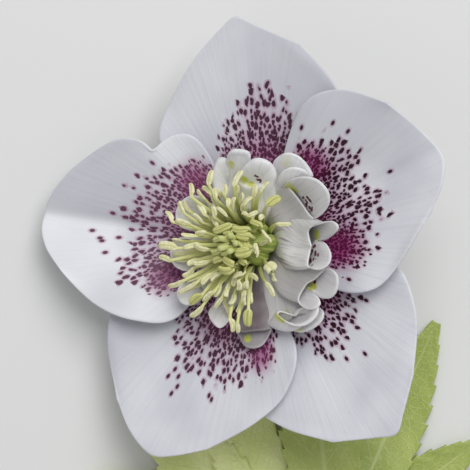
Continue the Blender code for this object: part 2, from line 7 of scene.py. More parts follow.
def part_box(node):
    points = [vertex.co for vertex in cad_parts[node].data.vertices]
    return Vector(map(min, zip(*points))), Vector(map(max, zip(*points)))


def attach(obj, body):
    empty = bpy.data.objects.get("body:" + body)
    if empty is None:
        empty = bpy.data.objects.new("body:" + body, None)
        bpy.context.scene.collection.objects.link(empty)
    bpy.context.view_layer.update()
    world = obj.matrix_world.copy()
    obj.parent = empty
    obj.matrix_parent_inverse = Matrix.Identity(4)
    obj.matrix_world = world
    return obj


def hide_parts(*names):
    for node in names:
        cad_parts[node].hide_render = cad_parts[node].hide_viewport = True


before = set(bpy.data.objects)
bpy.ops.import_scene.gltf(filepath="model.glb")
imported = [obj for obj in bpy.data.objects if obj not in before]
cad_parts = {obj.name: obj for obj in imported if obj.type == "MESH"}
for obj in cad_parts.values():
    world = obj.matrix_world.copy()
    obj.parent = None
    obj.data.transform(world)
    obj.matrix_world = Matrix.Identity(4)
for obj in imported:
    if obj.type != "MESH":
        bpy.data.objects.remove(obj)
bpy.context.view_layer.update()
print("frame loaded:", len(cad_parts), "nodes")

# everything is modelled in millimetres and brought to metres when a piece is finished
mm = 0.001
up = Vector((0.0, 0.0, 1.0))

# the bloom's centre, from the low corner of the stem's box, and the lean of its axis to the left
bloom = {"fromStemX": 4.245, "fromStemY": 133.298, "height": 9.5, "lean": 20.0}
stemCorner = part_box("stem")[0] / mm
plantShift = Vector((stemCorner.x + bloom["fromStemX"], stemCorner.y + bloom["fromStemY"], 0.0))
plantPlace = Matrix.Translation(plantShift)
bloomPlace = (Matrix.Translation(plantShift + up * bloom["height"])
              @ Matrix.Rotation(math.radians(-bloom["lean"]), 4, "Y"))
bloomOnPlant = plantPlace.inverted() @ bloomPlace

# the picture: where the bloom's centre falls in it, its scale there and how far off the camera is
picture = {"size": 470.0, "centreX": 262.0, "centreY": 243.0, "pixelsPerMm": 5.88, "distance": 400.0}
cameraX = plantShift.x - (picture["centreX"] - picture["size"] / 2) / picture["pixelsPerMm"]
cameraY = plantShift.y + (picture["centreY"] - picture["size"] / 2) / picture["pixelsPerMm"]
cameraZ = bloom["height"] + picture["distance"]


def inBloom(px, py, lift):
    # the point of the bloom that shows at a pixel, at a height above the bloom's centre
    lean = math.radians(bloom["lean"])
    rise = 0.0
    for _ in range(8):
        scale = picture["pixelsPerMm"] * picture["distance"] / (picture["distance"] - rise)
        worldX = cameraX + (px - picture["size"] / 2) / scale - plantShift.x
        worldY = cameraY - (py - picture["size"] / 2) / scale - plantShift.y
        x = (worldX + lift * math.sin(lean)) / math.cos(lean)
        rise = x * math.sin(lean) + lift * math.cos(lean)
    return Vector((x, worldY, lift))


def mix(low, high, share):
    return low + (high - low) * share


def easeStep(value):
    value = min(max(value, 0.0), 1.0)
    return value * value * (3.0 - 2.0 * value)


def grown(value, start, length):
    # 0 up to the start, then an eased rise to 1 over the length
    return easeStep((value - start) / length)


def bell(value, middle, width):
    return math.exp(-((value - middle) / width) ** 2)


def alongCurve(points, share, closed=False):
    # a smooth curve through the points, open or as a loop
    count = len(points)
    spans = count if closed else count - 1
    place = share * spans if closed else min(max(share, 0.0), 1.0) * spans
    index = int(math.floor(place))
    if not closed:
        index = min(index, spans - 1)
    t = place - index

    def at(number):
        return points[number % count] if closed else points[min(max(number, 0), count - 1)]

    before, start, end, after = at(index - 1), at(index), at(index + 1), at(index + 2)
    result = []
    for a, b, c, d in zip(before, start, end, after):
        slopeIn, slopeOut = (c - a) / 2, (d - b) / 2
        value = (2 * t ** 3 - 3 * t ** 2 + 1) * b + (t ** 3 - 2 * t ** 2 + t) * slopeIn
        value += (3 * t ** 2 - 2 * t ** 3) * c + (t ** 3 - t ** 2) * slopeOut
        result.append(value)
    return result


def bezierPoint(start, knee, end, t):
    return start * (1 - t) ** 2 + knee * 2 * t * (1 - t) + end * t * t


def mixDirection(first, second, share):
    return first.normalized() * (1.0 - share) + second.normalized() * share


def levelWays(azimuth):
    # the level directions outwards along an azimuth and to its left
    out = Vector((math.cos(azimuth), math.sin(azimuth), 0.0))
    return out, Vector((-out.y, out.x, 0.0))


def deselectAll():
    bpy.ops.object.select_all(action="DESELECT")


def selectOnly(*pieces):
    deselectAll()
    for piece in pieces:
        piece.select_set(True)
    bpy.context.view_layer.objects.active = pieces[0]


def addObject(name, data):
    made = bpy.data.objects.new(name, data)
    bpy.context.collection.objects.link(made)
    return made


def addSheet(columns, rows):
    # a flat grid, one by one, whose corners are at 0 and 1
    deselectAll()
    bpy.ops.mesh.primitive_grid_add(x_subdivisions=columns, y_subdivisions=rows, size=1.0,
                                    location=(0.5, 0.5, 0.0))
    bpy.ops.object.transform_apply(location=True, rotation=False, scale=False)
    return bpy.context.object


def addCollar(sides, radius, thickness, height):
    # a ring round the bloom's axis, which joins the feet of what stands on it
    deselectAll()
    bpy.ops.mesh.primitive_torus_add(major_segments=sides, minor_segments=sides // 4, major_radius=radius,
                                     minor_radius=thickness, location=(0.0, 0.0, height))
    bpy.ops.object.transform_apply(location=True)
    return bpy.context.object


def addBall(segments, rings, radius=1.0, height=0.0):
    deselectAll()
    bpy.ops.mesh.primitive_uv_sphere_add(segments=segments, ring_count=rings, radius=radius,
                                         location=(0.0, 0.0, height))
    bpy.ops.object.transform_apply(location=True)
    return bpy.context.object


def extrudeProfile(profile):
    # carries the selected face up through stations of (height, width, depth)
    for (low, lowWidth, lowDepth), (high, width, depth) in zip(profile, profile[1:]):
        bpy.ops.mesh.extrude_region_move(TRANSFORM_OT_translate={"value": (0.0, 0.0, high - low)})
        bpy.ops.transform.resize(value=(width / lowWidth, depth / lowDepth, 1.0))


def raiseCircle(sides, profile):
    # a round face extruded through the stations, one unit high
    deselectAll()
    bpy.ops.mesh.primitive_circle_add(vertices=sides, radius=1.0, fill_type="NGON")
    bpy.ops.object.mode_set(mode="EDIT")
    bpy.ops.mesh.select_all(action="SELECT")
    extrudeProfile(profile)
    bpy.ops.mesh.select_all(action="SELECT")
    bpy.ops.mesh.normals_make_consistent(inside=False)
    bpy.ops.object.mode_set(mode="OBJECT")
    return bpy.context.object


def setMap(piece, name, values):
    # the piece's one UV map, from one (u, v) for each vertex
    while piece.data.uv_layers:
        piece.data.uv_layers.remove(piece.data.uv_layers[0])
    layer = piece.data.uv_layers.new(name=name)
    for loop in piece.data.loops:
        layer.data[loop.index].uv = values[loop.vertex_index]


def addShades(piece, **shades):
    # attributes with a value for each vertex, or one value for them all
    for name, values in shades.items():
        if not isinstance(values, list):
            values = [values] * len(piece.data.vertices)
        piece.data.attributes.new(name, "FLOAT", "POINT").data.foreach_set("value", values)


def useModifier(piece, kind, **settings):
    selectOnly(piece)
    modifier = piece.modifiers.new(kind.lower(), kind)
    for key, value in settings.items():
        setattr(modifier, key, value)
    bpy.ops.object.modifier_apply(modifier=modifier.name)


def cleanMesh(piece, distance=0.001):
    # merges doubles, then turns the faces outwards
    selectOnly(piece)
    bpy.ops.object.mode_set(mode="EDIT")
    bpy.ops.mesh.select_all(action="SELECT")
    bpy.ops.mesh.remove_doubles(threshold=distance)
    bpy.ops.mesh.normals_make_consistent(inside=False)
    bpy.ops.object.mode_set(mode="OBJECT")


def thickenSheet(piece, thickness, rounding=1):
    useModifier(piece, "SOLIDIFY", thickness=thickness, offset=0.0, use_even_offset=False)
    if rounding:
        useModifier(piece, "SUBSURF", levels=rounding, render_levels=rounding)


def joinPieces(pieces):
    selectOnly(*pieces)
    bpy.ops.object.join()
    return pieces[0]


def finishPiece(piece, name, place, material, nodeName):
    piece.name = name
    piece.data.name = name
    piece.data.transform(Matrix.Scale(mm, 4) @ place)
    piece.data.materials.clear()
    piece.data.materials.append(material)
    for face in piece.data.polygons:
        face.use_smooth = True
    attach(piece, "root")
    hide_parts(nodeName)


# materials: a few short words for the nodes, which all go into the material begun last
recipe = {}


def newMaterial(name, roughness, skin=0.0, skinDepth=0.6, specular=0.4):
    material = bpy.data.materials.new(name)
    material.use_nodes = True
    shader = material.node_tree.nodes["Principled BSDF"]
    for key, value in {"Roughness": roughness, "Specular IOR Level": specular, "Subsurface Weight": skin,
                       "Subsurface Scale": skinDepth * mm, "Subsurface Radius": (1.0, 0.9, 0.8)}.items():
        shader.inputs[key].default_value = value
    recipe.update(tree=material.node_tree, shader=shader)
    return material


def feed(socket, value):
    # links what comes from another node, and sets what is a plain value
    if isinstance(value, bpy.types.NodeSocket):
        recipe["tree"].links.new(value, socket)
    else:
        socket.default_value = value


def addNode(kind, inputs=None, **settings):
    node = recipe["tree"].nodes.new("ShaderNode" + kind)
    for key, value in settings.items():
        setattr(node, key, value)
    for key, value in (inputs or {}).items():
        feed(node.inputs[key], value)
    return node


def calc(operation, *values):
    return addNode("Math", dict(enumerate(values)), operation=operation).outputs[0]


def plus(first, second):
    return calc("ADD", first, second)


def minus(first, second):
    return calc("SUBTRACT", first, second)


def times(first, second):
    return calc("MULTIPLY", first, second)


def largest(first, second):
    return calc("MAXIMUM", first, second)


def onVector(operation, *values):
    return addNode("VectorMath", dict(enumerate(values)), operation=operation).outputs[0]


def parted(vector):
    return addNode("SeparateXYZ", {0: vector}).outputs


def mapOf(name):
    return addNode("UVMap", uv_map=name).outputs[0]


def shadeOf(name):
    return addNode("Attribute", attribute_name=name).outputs["Fac"]


def objectPlace():
    return addNode("TexCoord").outputs["Object"]


def fade(value, low, high, start=0.0, end=1.0):
    return addNode("MapRange", {"Value": value, "From Min": low, "From Max": high, "To Min": start,
                                "To Max": end}, interpolation_type="SMOOTHSTEP").outputs["Result"]


def blendColour(share, first, second):
    node = addNode("Mix", data_type="RGBA")
    for index, value in ((0, share), (6, first), (7, second)):
        feed(node.inputs[index], (*value, 1.0) if isinstance(value, tuple) else value)
    return node.outputs[2]


def noise(vector, scale, detail=3.0, roughness=0.5):
    return addNode("TexNoise", {"Vector": vector, "Scale": scale, "Detail": detail,
                                "Roughness": roughness}).outputs["Fac"]


def stretched(vector, scale, shift=(0.0, 0.0, 0.0)):
    return addNode("Mapping", {"Vector": vector, "Scale": scale, "Location": shift}).outputs[0]


def grainLines(vector, across, along, detail=2.0, roughness=0.5):
    # noise drawn out into lines, from its scales across and along them
    return noise(stretched(vector, (across, along, 1.0)), 1.0, detail, roughness)


def addFinish(colour, height, depth, strength=0.6):
    # the colour, and a bump of a depth in mm
    bump = addNode("Bump", {"Height": height, "Distance": depth * mm, "Strength": strength})
    feed(recipe["shader"].inputs["Normal"], bump.outputs[0])
    feed(recipe["shader"].inputs["Base Color"], colour)


def srgb(red, green, blue):
    # a colour as it is read off a screen, made linear
    return tuple((c / 255 / 12.92) if c <= 10 else ((c / 255 + 0.055) / 1.055) ** 2.4
                 for c in (red, green, blue))


# the five sepals, in the bloom's own frame
sepals = {
    "bowl": (0.30, 0.0018),      # slope near the centre, and how fast it flattens
    "thickness": 0.5,
    "step": 1.15,                # how far a lap rises or sinks, and the radius where it is full
    "stepRadius": 9.5,
    "clawRadius": 2.4,
    "stations": (0.0, 0.10, 0.25, 0.45, 0.65, 0.85),
    "shoulder": 0.955,
    "foldReach": 6.0,
    "foldDrop": 2.4,
    "foldSpread": 3.0,
    "foldGrowth": (9.0, 12.0),   # radius where creases begin, and over which they grow
    "rippleGrowth": (14.0, 10.0),
    "ripples": (17.0, 9.0),
    "rippleRim": 0.10,
    "fan": (180.0, 50.0),        # degrees and mm that the fan map holds
    "columns": 52,
    "rows": 60,
}
# each one's half widths from claw to shoulder on the clockwise and anticlockwise side, which way
# each side laps its neighbour, and its crease: turn, slope on either side and how soft it is.
# Turns are degrees clockwise from its middle line. Shading is painted shade and painted light: turns
# where a greyer side that stands in for shade begins, is full and ends, with the shares of painted
# shade there and of painted light, a whiter tint, on the other side. Haze is how far the spots are
# bleached. Lights and greys are soft ellipses of painted light and painted shade, and flush a soft
# ellipse of the sepal's own magenta, each as turn, radius, half turn, half length and share. Patch is
# the outline of the spots, and strays are single spots outside it
sepalShapes = {
    "sepal_top": {
        "azimuth": 92.4, "gaps": (70.4, 81.6), "length": 37.9, "tip": (3.5, 2.8), "laps": (-1, -1),
        "clockwise": (1.2, 4.6, 12.8, 17.6, 16.4, 10.6),
        "anticlockwise": (1.2, 4.4, 12.2, 15.9, 12.7, 7.0),
        "crease": (0.0, 0.10, 0.06, 5.0), "wave": 0.25, "paintedShading": (-10.0, 22.0, 90.0, 0.5, 0.0),
        "haze": 0.12, "lights": ((-5.0, 30.0, 12.0, 7.0, 0.3),),
        "patch": ((-32, 10), (-24, 14.5), (-19, 17), (-14, 21), (-9, 22), (-4, 24), (0, 26.6), (8, 28.2),
                  (13, 27.2), (17, 26.6), (22, 24.8), (28, 21.4), (36, 14)),
        "flush": ((12, 13, 22, 5, 0.55), (-14, 13, 8, 4, 0.6)),
        "strays": (),
    },
    "sepal_right": {
        "azimuth": 22.0, "gaps": (71.7, 70.4), "length": 36.8, "tip": (4.0, 5.5), "laps": (1, 1),
        "clockwise": (1.2, 4.5, 12.5, 15.4, 12.4, 7.4),
        "anticlockwise": (1.2, 4.5, 11.5, 17.5, 17.3, 12.0),
        "crease": (-3.5, 0.34, 0.12, 0.8), "wave": 0.35, "paintedShading": (0.0, -22.0, 90.0, 0.45, 0.0),
        "haze": 0.0, "lights": ((-4.0, 20.0, 16.0, 8.0, 0.9),), "greys": ((46.0, 17.0, 14.0, 7.0, 0.4),),
        "patch": ((-50, 12), (-45, 17), (-41, 19.6), (-34, 22), (-29, 23.4), (-22, 25), (-16, 26),
                  (-12, 25), (-7, 23.4), (-3, 24.4), (5, 25.4), (12, 24.6), (20, 23.4), (26, 22.6),
                  (31, 20.8), (36, 17.6), (42, 12)),
        "flush": ((-29, 16.5, 13, 4.4, 0.9), (25, 15.2, 15, 6.0, 1.0), (0, 11, 30, 4, 0.5)),
        "strays": ((-30.6, 25.0), (-24.1, 25.6), (-3.7, 27.3), (-41.3, 21.5), (40.5, 18.9)),
    },
    "sepal_lower_right": {
        "azimuth": 310.3, "gaps": (65.7, 71.7), "length": 40.7, "tip": (3.4, 3.0), "laps": (-1, -1),
        "clockwise": (1.2, 4.6, 13.0, 17.6, 15.2, 9.4),
        "anticlockwise": (1.2, 4.6, 13.0, 17.2, 15.0, 8.4),
        "crease": (2.0, 0.12, 0.12, 5.0), "wave": 0.35, "paintedShading": (12.0, 40.0, 90.0, 0.2, 0.0),
        "haze": 0.0, "lights": ((6.0, 26.5, 16.0, 7.0, 0.45),), "greys": ((-34.0, 23.0, 12.0, 8.0, 0.4),),
        "patch": ((-36, 14), (-30, 19), (-25, 22.6), (-20, 22.4), (-15, 24.2), (-10, 25), (-5, 25.2),
                  (0, 24.8), (6, 24.2), (10, 21.8), (14, 20), (19, 15)),
        "flush": ((-18, 14, 16, 5, 0.5),),
        "strays": ((-7.9, 27.3), (-1.5, 25.6), (-24.6, 22.3)),
    },
    "sepal_lower_left": {
        "azimuth": 244.6, "gaps": (70.6, 65.7), "length": 39.6, "tip": (5.0, 4.0), "laps": (-1, 1),
        "clockwise": (1.2, 4.6, 13.0, 17.6, 15.7, 9.7),
        "anticlockwise": (1.2, 4.6, 15.0, 17.1, 14.4, 8.9),
        "crease": (0.0, 0.12, 0.10, 6.0), "wave": 0.3, "paintedShading": (10.0, 34.0, 90.0, 0.7, 0.0),
        "haze": 0.14, "greys": ((-31.0, 23.0, 12.0, 7.0, 0.32),),
        "patch": ((30, 12), (25, 18), (20.4, 20.8), (16, 22), (11, 23.4), (6, 24.4), (1, 25.4),
                  (-6, 25.8), (-12, 25.6), (-16, 25.2), (-20, 24.4), (-26, 23.6), (-32, 22.6),
                  (-37, 20.4), (-42, 18.6), (-47, 13)),
        "flush": ((-32, 18.0, 9, 4.5, 0.8), (-2, 14, 16, 4.5, 0.5)),
        "strays": ((6.7, 25.3), (7.4, 26.9), (4.0, 26.0), (2.4, 27.5), (3.0, 29.0), (-10.4, 26.6),
                   (-11.8, 27.1)),
    },
    "sepal_left": {
        "azimuth": 174.0, "gaps": (81.6, 70.6), "length": 37.4, "tip": (5.0, 4.4), "laps": (1, 1),
        "clockwise": (1.2, 9.0, 16.8, 16.2, 15.0, 9.8),
        "anticlockwise": (1.2, 4.6, 13.9, 15.1, 13.4, 8.2),
        "crease": (2.6, 0.16, 0.50, 0.6), "wave": 0.3, "paintedShading": (1.0, 6.0, 30.0, 0.5, 0.6),
        "haze": 0.28, "lights": ((44.0, 21.0, 14.0, 6.0, 0.7),),
        "greys": ((-26.0, 25.0, 14.0, 7.0, 0.25), (2.0, 19.0, 22.0, 7.0, 0.6)),
        "notch": (40.9, 24.5, 1.5, 2.7),
        "patch": ((62, 12), (57, 15.4), (52, 16.8), (44, 17.2), (39, 19.2), (34, 21), (29, 22),
                  (24, 22.8), (20, 24), (12, 24), (6, 25.2), (1, 23), (-8, 22.8), (-14, 24), (-19, 24),
                  (-25, 22.8), (-31, 20.8), (-36, 18.2), (-42, 14.5), (-48, 10)),
        "flush": ((41, 14.0, 17, 4.6, 0.8), (-27, 15.5, 13, 4.4, 0.75), (6, 13, 16, 3.5, 0.4)),
        "strays": ((-1.9, 28.5), (-4.4, 26.9), (-5.4, 26.5), (-4.0, 23.8), (-9.8, 25.7),
                   (32.5, 21.9), (5.8, 25.3)),
    },
}


def sepalOutline(shape):
    length = shape["length"]
    first = sepals["clawRadius"] / length
    stations = [(first + station * (1.0 - first)) * length for station in sepals["stations"]]
    right = list(zip(shape["clockwise"], stations))
    left = [(-width, y) for width, y in zip(shape["anticlockwise"], stations)]
    shoulder = sepals["shoulder"] * length
    tip = [left[-1], (-shape["tip"][1], shoulder), (0.0, length), (shape["tip"][0], shoulder), right[-1]]
    return left, right, tip


def sepalFlat(outline, across, along):
    # a point of the sheet, inside the sepal's flat outline
    left, right, tip = outline
    low, high = alongCurve(left, along), alongCurve(right, along)
    crown = alongCurve(tip, across)
    return [mix(low[axis], high[axis], across)
            + (crown[axis] - mix(left[-1][axis], right[-1][axis], across)) * along ** 2 for axis in (0, 1)]


def sepalLift(shape, x, y, across, along):
    radius = math.hypot(x, y)
    turn = math.degrees(math.atan2(x, y))
    slope, flattening = sepals["bowl"]
    if turn >= 0.0:
        lap = shape["laps"][0] * turn / (shape["gaps"][0] / 2)
    else:
        lap = -shape["laps"][1] * turn / (shape["gaps"][1] / 2)
    lift = slope * radius - flattening * radius ** 2
    lift += sepals["step"] * lap * easeStep(radius / sepals["stepRadius"])
    creaseTurn, clockwiseSlope, anticlockwiseSlope, width = shape["crease"]
    side = math.radians(turn - creaseTurn) * radius
    fold = sepals["foldReach"] * math.tanh((math.hypot(side, width) - width) / sepals["foldReach"])
    depth = mix(anticlockwiseSlope, clockwiseSlope, easeStep(side / sepals["foldSpread"] + 0.5))
    lift += depth * (fold - sepals["foldDrop"]) * grown(radius, *sepals["foldGrowth"])
    ripplesAlong, ripplesAcross = sepals["ripples"]
    ripple = math.sin(along * ripplesAlong + across * ripplesAcross + shape["azimuth"])
    ripple *= bell(min(across, 1.0 - across), 0.0, sepals["rippleRim"])
    return lift + shape["wave"] * ripple * grown(radius, *sepals["rippleGrowth"])


def notchEdge(shape, x, y):
    # a nick in the edge at a turn and radius, with its size and depth, and its lips curled up
    if "notch" not in shape:
        return x, y, 0.0
    turn, radius, size, depth = shape["notch"]
    turn = math.radians(turn)
    away = math.hypot(x - radius * math.sin(turn), y - radius * math.cos(turn))
    pull = math.exp(-away / size)
    return x - depth * pull, y, 0.8 * pull ** 2


def buildSepal(name, shape, material):
    sheet = addSheet(sepals["columns"], sepals["rows"])
    outline = sepalOutline(shape)
    fanTurn, fanRadius = sepals["fan"]
    fan = []
    for vert in sheet.data.vertices:
        across, along = vert.co.x, vert.co.y
        x, y, curl = notchEdge(shape, *sepalFlat(outline, across, along))
        z = sepalLift(shape, x, y, across, along) + curl
        radius = math.hypot(x, y)
        turn = math.degrees(math.atan2(x, y))
        heading = math.radians(shape["azimuth"] - turn)
        vert.co = (radius * math.cos(heading), radius * math.sin(heading), z)
        fan.append((0.5 + turn / fanTurn, radius / fanRadius))
    setMap(sheet, "fan", fan)
    cleanMesh(sheet)
    thickenSheet(sheet, sepals["thickness"])
    finishPiece(sheet, name + "_petal", bloomPlace, material, name)


# sepal finish: white with fine veins, and maroon dashes along them that run together near the claw
sepalFinish = {
    "white": srgb(226, 226, 232),
    "shade": srgb(208, 209, 217),
    "vein": srgb(190, 191, 202),
    # painted shade and painted light: a greyer and a whiter white, for where the sepals turn from or
    # towards the light
    "paintedShade": srgb(186, 187, 195),
    "pale": srgb(242, 243, 246),
    "base": srgb(186, 188, 132),
    "spot": srgb(46, 8, 28),
    "plum": srgb(96, 20, 64),
    "haze": srgb(162, 104, 142),
    "magenta": srgb(162, 72, 130),
    "lilac": srgb(202, 176, 198),
    "turnRange": 70.0,          # the patch's outline is drawn between these turns, in degrees
    "radiusRange": 32.0,
    "unevenEdge": (0.22, 3.5),  # scale, and mm that the patch's edge wanders
    # step across in degrees, step outwards as a share of the radius, shift, half width and half
    # length as shares of the steps, and how far inside the patch it starts to show and is full
    "layers": (
        {"steps": (3.1, 0.064), "shift": (0.37, 0.21, 0.0), "half": (0.28, 0.39), "entry": (-0.6, 2.0)},
        {"steps": (2.7, 0.055), "shift": (3.4, 8.1, 0.0), "half": (0.29, 0.40), "entry": (0.4, 7.5)},
    ),
    "fine": {"steps": (1.75, 0.036), "shift": (7.7, 2.9, 0.0), "half": (0.30, 0.42)},
    "stray": (0.30, 0.50),
    "noSpot": -2.0,
}


def patchReach(turn, outline):
    # how far out the spots go at each turn from the middle line, in mm
    node = addNode("FloatCurve")
    curve = node.mapping.curves[0]
    span, radius = sepalFinish["turnRange"], sepalFinish["radiusRange"]
    places = [(0.5 + point[0] / (2 * span), point[1] / radius) for point in sorted(outline)]
    places = [(0.0, 0.0)] + places + [(1.0, 0.0)]
    curve.points[0].location = places[0]
    curve.points[1].location = places[-1]
    for place in places[1:-1]:
        curve.points.new(*place)
    for point in curve.points:
        point.handle_type = "AUTO_CLAMPED"
    node.mapping.update()
    feed(node.inputs["Value"], plus(calc("DIVIDE", turn, 2 * span), 0.5))
    return times(node.outputs[0], radius)


def depthInside(shape, turn, radius):
    # mm inside the uneven edge of the spotted patch
    scale, reach = sepalFinish["unevenEdge"]
    place = addNode("CombineXYZ", {0: turn, 1: radius}).outputs[0]
    uneven = times(minus(noise(place, scale, 2.0), 0.5), reach)
    return plus(minus(patchReach(turn, shape["patch"]), radius), uneven)


def ellipseShare(turn, radius, spread):
    # distance from the middle of a soft ellipse, 1 on its edge
    middleTurn, middleRadius, halfTurn, halfRadius = spread
    sideways = calc("DIVIDE", minus(turn, middleTurn), halfTurn)
    outwards = calc("DIVIDE", minus(radius, middleRadius), halfRadius)
    return calc("SQRT", plus(times(sideways, sideways), times(outwards, outwards)))


def flushAt(shape, turn, radius):
    flush = 0.0
    for *spread, strength in shape["flush"]:
        flush = largest(flush, fade(ellipseShare(turn, radius, spread), 0.25, 1.25, strength, 0.0))
    return flush


def spotCells(cellPlace, layer):
    # a stretched cell pattern, with each cell's middle and how far off it the point is
    steps, shift, half = layer["steps"], layer["shift"], layer["half"]
    cells = stretched(cellPlace, (1.0 / steps[0], 1.0 / steps[1], 1.0), shift)
    jitter = addNode("TexNoise", {"Vector": cells, "Scale": 1.1, "Detail": 2.0}).outputs["Color"]
    wobble = onVector("SUBTRACT", jitter, (0.5, 0.5, 0.5))
    bent = onVector("MULTIPLY_ADD", wobble, (0.7, 0.8, 0.0), cells)
    voronoi = addNode("TexVoronoi", {"Vector": bent, "Scale": 1.0, "Randomness": 0.85},
                      voronoi_dimensions="2D", feature="F1")
    middle = voronoi.outputs["Position"]
    off = onVector("MULTIPLY", onVector("SUBTRACT", bent, middle), (1.0 / half[0], 1.0 / half[1], 0.0))
    away = addNode("VectorMath", {0: off}, operation="LENGTH").outputs["Value"]
    middleTurn, middleOut, _ = parted(onVector("SUBTRACT", middle, shift))
    middleRadius = calc("EXPONENT", times(middleOut, steps[1]))
    lot, sizeLot, _ = parted(voronoi.outputs["Color"])
    return away, times(middleTurn, steps[0]), middleRadius, lot, sizeLot


def spotWhere(there, size, away):
    return minus(times(minus(size, away), there), times(minus(1.0, there), -sepalFinish["noSpot"]))


def sepalSpots(shape, turn, radius):
    # a value that is above 0 inside a spot and falls off around it
    cellPlace = addNode("CombineXYZ", {0: turn, 1: calc("LOGARITHM", radius, math.e)}).outputs[0]
    inside = sepalFinish["noSpot"]
    for layer in sepalFinish["layers"]:
        away, middleTurn, middleRadius, lot, sizeLot = spotCells(cellPlace, layer)
        depth = depthInside(shape, middleTurn, middleRadius)
        start, full = layer["entry"]
        there = fade(minus(depth, plus(times(lot, full - start), start)), -0.2, 0.2)
        size = times(fade(sizeLot, 0.0, 1.0, 0.72, 1.2), fade(depth, 2.0, 15.0, 1.0, 1.3))
        inside = largest(inside, spotWhere(there, size, away))
    # fine spots crowd where the sepal is flushed
    away, middleTurn, middleRadius, lot, _ = spotCells(cellPlace, sepalFinish["fine"])
    chance = minus(flushAt(shape, middleTurn, middleRadius), times(lot, 0.9))
    inside = largest(inside, spotWhere(fade(chance, -0.03, 0.03), 1.0, away))
    halfWidth, halfLength = sepalFinish["stray"]
    for strayTurn, strayRadius in shape["strays"]:
        spread = (strayTurn, strayRadius, math.degrees(halfWidth / strayRadius), halfLength)
        inside = largest(inside, minus(1.0, ellipseShare(turn, radius, spread)))
    return inside


def sepalGround(shape, polar, turn, radius, veinLines):
    # the white under the spots: veins, broad greys at random, painted shade on one side and painted light
    # on the other and in soft ellipses, and yellow-green towards the claw
    broadTone = grainLines(polar, 0.035, 0.06)
    colour = blendColour(fade(broadTone, 0.35, 0.68), sepalFinish["white"], sepalFinish["shade"])
    colour = blendColour(fade(veinLines, 0.45, 0.75, 0.0, 0.3), colour, sepalFinish["vein"])
    # painted shade on the greyer side and painted light on the other, growing towards the edge
    shadeStart, shadeFull, shadeStop, shadeShare, paleShare = shape["paintedShading"]
    outer = fade(radius, 12.0, 24.0)
    side = fade(turn, shadeStart, shadeFull)
    paintedShadeSide = times(side, fade(turn, shadeStop, shadeStop + 12.0, shadeShare, 0.0))
    paleSide = fade(side, 0.0, 1.0, paleShare, 0.0)
    colour = blendColour(times(paintedShadeSide, outer), colour, sepalFinish["paintedShade"])
    colour = blendColour(times(paleSide, outer), colour, sepalFinish["pale"])
    # soft ellipses of painted light and painted shade
    for kind, tint in (("lights", "pale"), ("greys", "paintedShade")):
        for *spread, strength in shape.get(kind, ()):
            here = fade(ellipseShare(turn, radius, spread), 0.2, 1.0, strength, 0.0)
            colour = blendColour(here, colour, sepalFinish[tint])
    return blendColour(fade(radius, 5.0, 11.0, 0.8, 0.0), colour, sepalFinish["base"])


def sepalMaterial(name, shape):
    material = newMaterial(name + "_finish", 0.45, skin=0.12, specular=0.35)
    # fan map back to degrees from the middle line and mm from the centre
    fanTurn, fanRadius = sepals["fan"]
    polar = onVector("MULTIPLY_ADD", mapOf("fan"), (fanTurn, fanRadius, 1.0), (-fanTurn / 2, 0.0, 0.0))
    turn, radius, _ = parted(polar)
    inside = sepalSpots(shape, turn, radius)
    spot, halo = fade(inside, -0.10, 0.28), fade(inside, -1.1, 0.1)
    flush = flushAt(shape, turn, radius)
    within = fade(depthInside(shape, turn, radius), 0.5, 11.0)
    veinLines = grainLines(polar, 0.75, 0.03, 4.0, 0.62)
    colour = sepalGround(shape, polar, turn, radius, veinLines)
    colour = blendColour(times(within, 0.75), colour, sepalFinish["lilac"])
    colour = blendColour(flush, colour, sepalFinish["magenta"])
    colour = blendColour(times(halo, 0.45), colour, sepalFinish["magenta"])
    spotColour = blendColour(flush, sepalFinish["spot"], sepalFinish["plum"])
    spotColour = blendColour(shape["haze"], spotColour, sepalFinish["haze"])
    colour = blendColour(spot, colour, spotColour)
    feed(recipe["shader"].inputs["Roughness"], fade(spot, 0.0, 1.0, 0.46, 0.36))
    addFinish(colour, minus(veinLines, times(spot, 0.12)), 0.14)
    return material


for sepalName, sepalShape in sepalShapes.items():
    buildSepal(sepalName, sepalShape, sepalMaterial(sepalName, sepalShape))
print("sepals done")


nectaries = {
    "around": 72,
    "along": 40,
    "lining": 0.25,
    "thickness": 0.24,
    "footRadius": 3.7,
    "footHeight": 3.1,
    "footWidth": 1.3,
    "footDepth": 0.6,
    "footRise": 0.4,
    "nearKnee": 0.17,            # how far out the inner and outer walls' knees are
    "farKnee": (0.45, 0.20),
    "widening": 0.5,
    "pinch": 0.05,
    "pinchBand": (0.86, 0.12),   # bands are a middle and a width, as shares of the wall's length
    "sagBand": (0.72, 0.26),
    "sagEnd": 0.16,
    "stripeBand": (0.45, 0.3),
    "stripeWidth": 0.22,
    "markGap": (0.10, 0.06),
    "markGrowth": (0.4, 0.3),
    "flare": 22.0,
    "flareStart": 0.9,
    "squareness": 0.8,
    "throatPlace": 0.35,
    "rimGrowth": (0.45, 0.5),    # along the wall, where it takes on the rim's outline
    "collar": (48, 3.3, 0.75, 3.2),
    "white": srgb(248, 248, 248),
    # painted shade, which tone darkens the shaded walls and pouches towards
    "shadow": srgb(112, 100, 104),
    "patch": srgb(206, 200, 210),
    "streak": srgb(132, 110, 138),
    "foot": srgb(182, 184, 118),
    "mark": srgb(200, 204, 84),
    "freckle": srgb(92, 20, 42),
    # painted highlight along the rims
    "rim": srgb(246, 246, 242),
}
